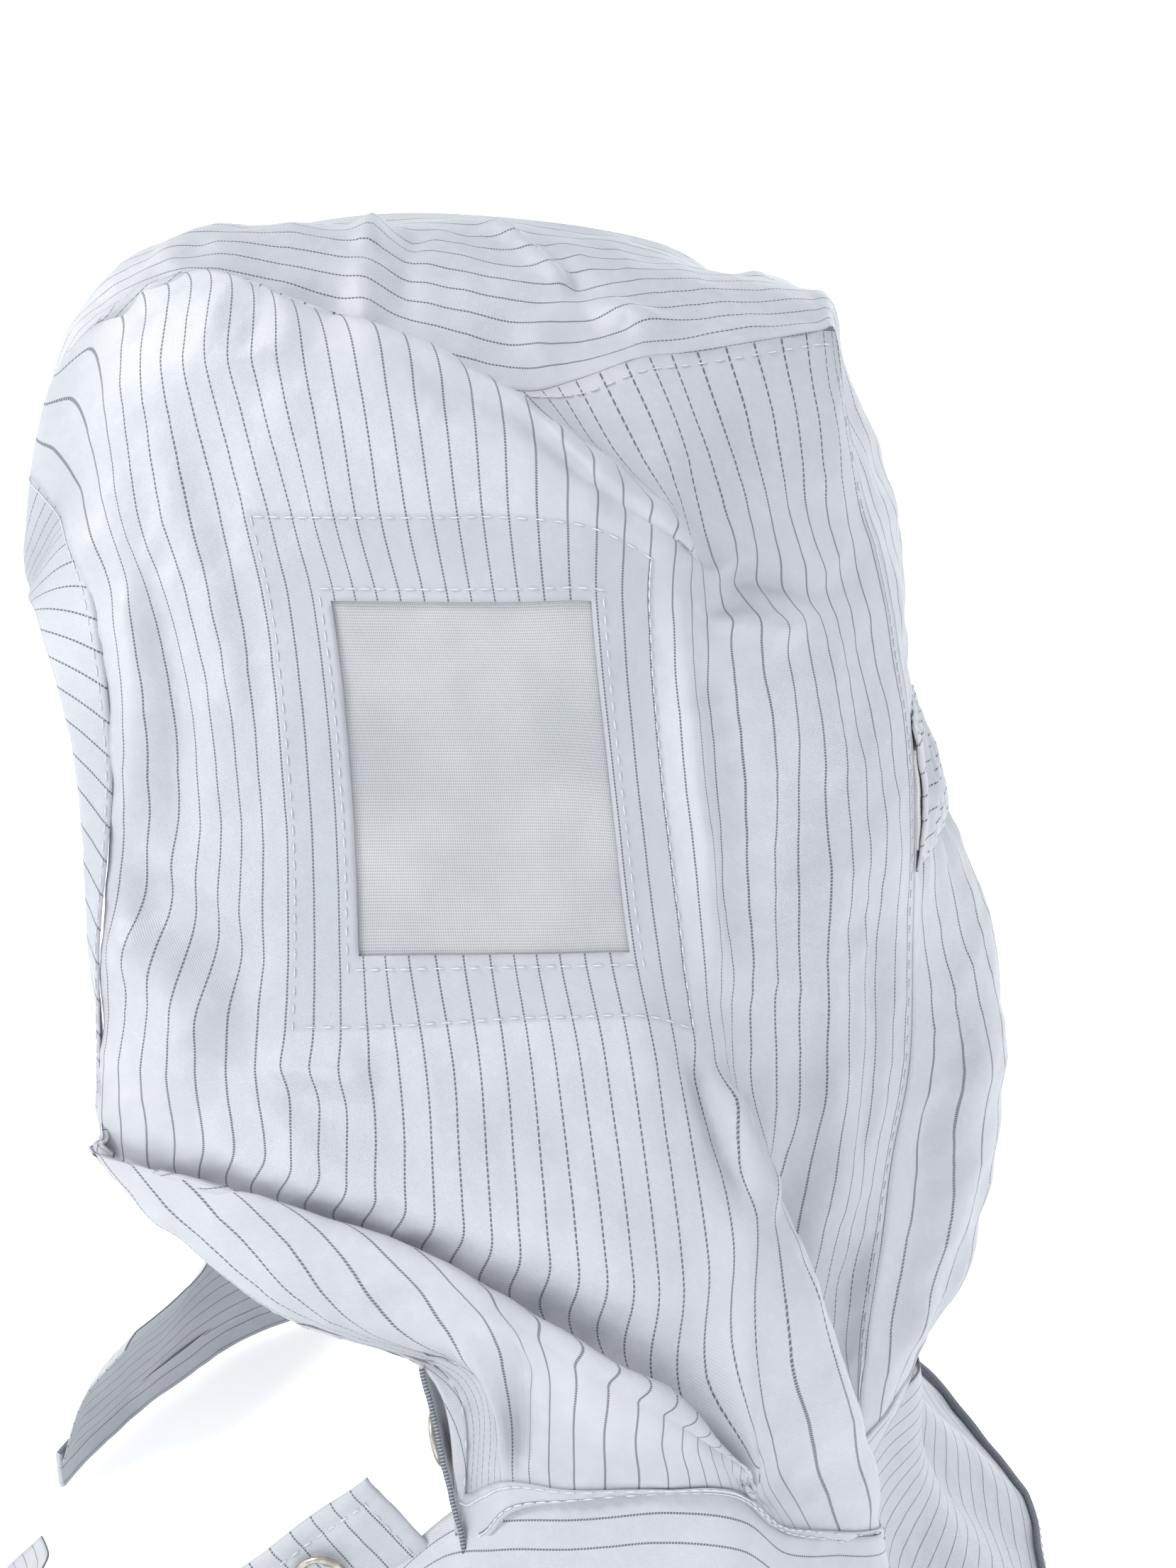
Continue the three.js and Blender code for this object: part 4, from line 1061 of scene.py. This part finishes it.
# %% [markdown]
# ## Throat tab and snaps
# The tab is a small square of doubled cloth, sewn along one edge and topstitched along the free one. It carries a
# ring snap: a thin open ring on the face, whose inner rim is wavy where its prongs turn down into the cloth, and
# a socket behind.

# %% Throat tab
TAB_ALONG, TAB_UP = Vector((-0.78038, 0, -0.6253)), Vector((-0.6253, 0, 0.78038))
TAB_CORNER = Vector((-7.67, -107.34, 84.79))


def tab_place(far, up, out=0.0):
    """A place on the tab: along its sewn edge, up from it, and out from its face."""
    return tuple(TAB_CORNER + TAB_ALONG * far + TAB_UP * up + Vector((0, -out, 0)))


TAB_ROWS = [(0, 30.5), (8, 22.5), (16, 14.5), (24, 6.5), (32, -1.5)]
TAB_CURL = [(1.6, 0.4, -0.6, 0.6), (0.6, 0.2, 0.2, 0.2), (0.0, 0.3, 0.5, 0.0), (0.0, 0.2, 0.3, -0.2), (0.0, 0, 0, 0)]
tab_net = Net([0, 13, 27, 40], [row[0] for row in TAB_ROWS], [
    [tab_place(40 - u, up, out) for u, out in zip((0, 13, 27, 40), curl)]
    for (_, up), curl in zip(TAB_ROWS, TAB_CURL)])


def tab_relief(u, v, place):
    edge = np.minimum(np.minimum(u, 40 - u), v)
    return 0.6 * np.sqrt(np.clip(edge / 1.6, 0, 1)) + crumple(place, 9, 0.7, 3) - 0.25 * np.exp(-(((v - 4) / 0.8) ** 2))


tab = cloth("throat_tab_cloth", tab_net, evenly(0, 40, step=0.8), evenly(0, 32, step=0.8), cloth_finish,
            relief=tab_relief, thick=1.3, start=(1.0, 0))
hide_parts("throat_tab")
Vector(tab_place(20, 0.5)) * MM
Vector(tab_place(20, 5)) * MM
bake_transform(tab)
stitches("tab_stitches", tab_net, [[(3.5, 26), (3.5, 4), (36.5, 4), (36.5, 26)]],
         lambda u, v, p: tab_relief(u, v, p) + 0.1, body="throat_tab", pitch=3.0)

# %% Ring snaps
def ring_snap(name, node, facing, body):
    """An open ring: a rolled rim spun round its axis, with a wavy inner lip."""
    bm = bmesh.new()
    rim, wire = 5.4, 0.8
    profile = []
    for i in range(14):
        a = 2 * math.pi * i / 14
        profile.append(bm.verts.new((rim - wire + wire * math.cos(a), 0, wire * 0.85 * math.sin(a))))
    for a, b in zip(profile, profile[1:] + profile[:1]):
        bm.edges.new((a, b))
    bmesh.ops.spin(bm, geom=bm.verts[:] + bm.edges[:], cent=(0, 0, 0), axis=(0, 0, 1), angle=2 * math.pi, steps=96,
                   use_merge=True)
    bmesh.ops.remove_doubles(bm, verts=bm.verts, dist=1e-4)
    for v in bm.verts:
        angle, radius = math.atan2(v.co.y, v.co.x), math.hypot(v.co.x, v.co.y)
        lip = max(0.0, (rim - wire - radius) / wire)
        push = lip * (0.28 * math.cos(5 * angle + 0.4) + 0.12 * math.cos(10 * angle))
        v.co.x -= push * math.cos(angle)
        v.co.y -= push * math.sin(angle)
        v.co.z -= lip * 0.25
    bmesh.ops.recalc_face_normals(bm, faces=bm.faces)
    for f in bm.faces:
        f.smooth = True
    turn = Vector((0, 0, 1)).rotation_difference(facing).to_matrix().to_4x4()
    bmesh.ops.transform(bm, matrix=Matrix.Translation(middle_of(node) * MM) @ turn @ Matrix.Scale(MM, 4), verts=bm.verts)
    mesh = bpy.data.meshes.new(name)
    bm.to_mesh(mesh)
    bm.free()
    piece = bpy.data.objects.new(name, mesh)
    bpy.context.scene.collection.objects.link(piece)
    mesh.materials.append(metal_finish)
    settle(piece, body, "nickel", node)
    print(name, "at", [round(c, 1) for c in middle_of(node)])


ring_snap("tab_ring", "tab_snap_ring", Vector((0, -1, 0)), "throat_tab")
ring_snap("placket_ring", "placket_snap_ring", THROAT_FACE, "hood")
for node in ("tab_snap_socket", "placket_snap_stud"):
    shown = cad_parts[node]
    shown.data.materials.clear()
    shown.data.materials.append(metal_finish)

# %% [markdown]
# ## Floor and backdrop
# A plain pale floor that curves up into a low wall, far away and all round, so there is no horizon line. It is a
# short profile spun about the middle. The wall is low, so the sky's soft light comes over it.

# %% The sweep
FLOOR_REACH, BEND, WALL_TOP = 6.0, 3.0, 4.6
bm = bmesh.new()
outline = [bm.verts.new((0, 0, 0))]
for turn in range(9):
    angle = math.pi / 2 * turn / 8
    outline.append(bm.verts.new((FLOOR_REACH + BEND * math.sin(angle), 0, BEND * (1 - math.cos(angle)))))
outline.append(bm.verts.new((FLOOR_REACH + BEND, 0, WALL_TOP)))
for near_end, far_end in zip(outline, outline[1:]):
    bm.edges.new((near_end, far_end))
bmesh.ops.spin(bm, geom=bm.verts[:] + bm.edges[:], cent=(0, 0, 0), axis=(0, 0, 1), angle=2 * math.pi, steps=72,
               use_merge=True)
bmesh.ops.remove_doubles(bm, verts=bm.verts, dist=1e-5)
bmesh.ops.recalc_face_normals(bm, faces=bm.faces)
sweep_mesh = bpy.data.meshes.new("sweep")
bm.to_mesh(sweep_mesh)
bm.free()
sweep = bpy.data.objects.new("sweep", sweep_mesh)
bpy.context.scene.collection.objects.link(sweep)
for face in sweep_mesh.polygons:
    face.use_smooth = True
paper = Finish("pale_paper", Roughness=0.85, Emission_Color=(1, 1, 1, 1), Emission_Strength=0.5)
paper.set("Base Color", paper.mix(paper.noise(3.0), (0.90, 0.91, 0.92, 1), (0.94, 0.945, 0.95, 1)))
sweep_mesh.materials.append(paper.material)
sweep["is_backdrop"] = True

# %% [markdown]
# ## What each piece of cloth was cut to
# The near panel and its window follow the stripe count.

# %% Sheets
def cut(piece, width, length, held, rests_on, share=1.0, **more):
    """Prints how much of its cut a sheet's surface fills. share is the part of its rectangle that the cut fills. Its
    width is 10 mm at least.
    """
    share = share * min(1.0, width / 10)
    width = max(width, 10.0)
    shown = piece.evaluated_get(bpy.context.evaluated_depsgraph_get()).data
    surface = sum(face.area for face in shown.polygons) / 2 / MM ** 2
    print("%-26s %5.0f x %3.0f mm, hangs at %.2f of its cut" % (piece.name, width, length, surface / (width * length * share)))


cut(left_panel, 182, 256, "hung", ["crown_and_back"], 0.84)
cut(facing_piece, 80, 95, "hung", ["left_panel"], 0.5)
cut(mesh_piece, 63, 73, "stretched", ["left_facing"])
cut(face_hem, 9, 160, "folded", ["left_panel"])
cut(chin_hem, 9, 80, "folded", ["left_panel"])
cut(left_placket, 14, 34, "folded", ["left_panel"])
cut(neck_band, 5, 135, "folded", ["left_panel"])
cut(crown, 54, 420, "hung", ["left_panel", "right_panel"])
cut(forehead, 9, 54, "folded", ["crown_and_back"])
cut(back_fell, 13, 54, "folded", ["crown_and_back"])
cut(casing, 28, 80, "gathered", ["strap_elastic"])
cut(elastic, 20, 66, "stretched", ["crown_and_back"])
cut(right_panel, 182, 248, "hung", ["crown_and_back"], 0.9)
cut(right_facing, 79, 98, "hung", ["right_panel"], 0.58)
cut(right_mesh, 56, 74, "stretched", ["right_facing"])
cut(right_face_hem, 9, 100, "folded", ["right_panel"])
cut(right_chin_hem, 9, 62, "folded", ["right_panel"])
cut(right_neck, 8, 91, "folded", ["right_panel"])
cut(right_placket, 14, 28, "folded", ["right_panel"])
for name, net in wings.items():
    cut(bpy.data.objects["shawl_" + name + "_drape"], net.across[-1], 101, "hung", ["left_neck_fell"])
for name in ("left", "right"):
    cut(fronts[name + "_piece"], fronts[name].across[-1], 52, "hung", ["shawl_" + name + "_drape"])
    cut(bpy.data.objects["shawl_" + name + "_front_hem"], 105, 11.5, "folded", ["shawl_" + name + "_front_drape"])
cut(hem_piece, hem_net.across[-1], 13, "folded", ["shawl_back_drape"])
cut(tab, 40, 32, "folded", ["shawl_left_drape"])

# %% [markdown]
# ## Size
# Both boxes are printed, the CAD model's and the visual model's.

# %% Boxes
bpy.context.view_layer.update()
visual_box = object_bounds()
for label, box in (("CAD", cad_box), ("visual", visual_box)):
    print(label, [[round(c * 1000, 1) for c in corner] for corner in box])
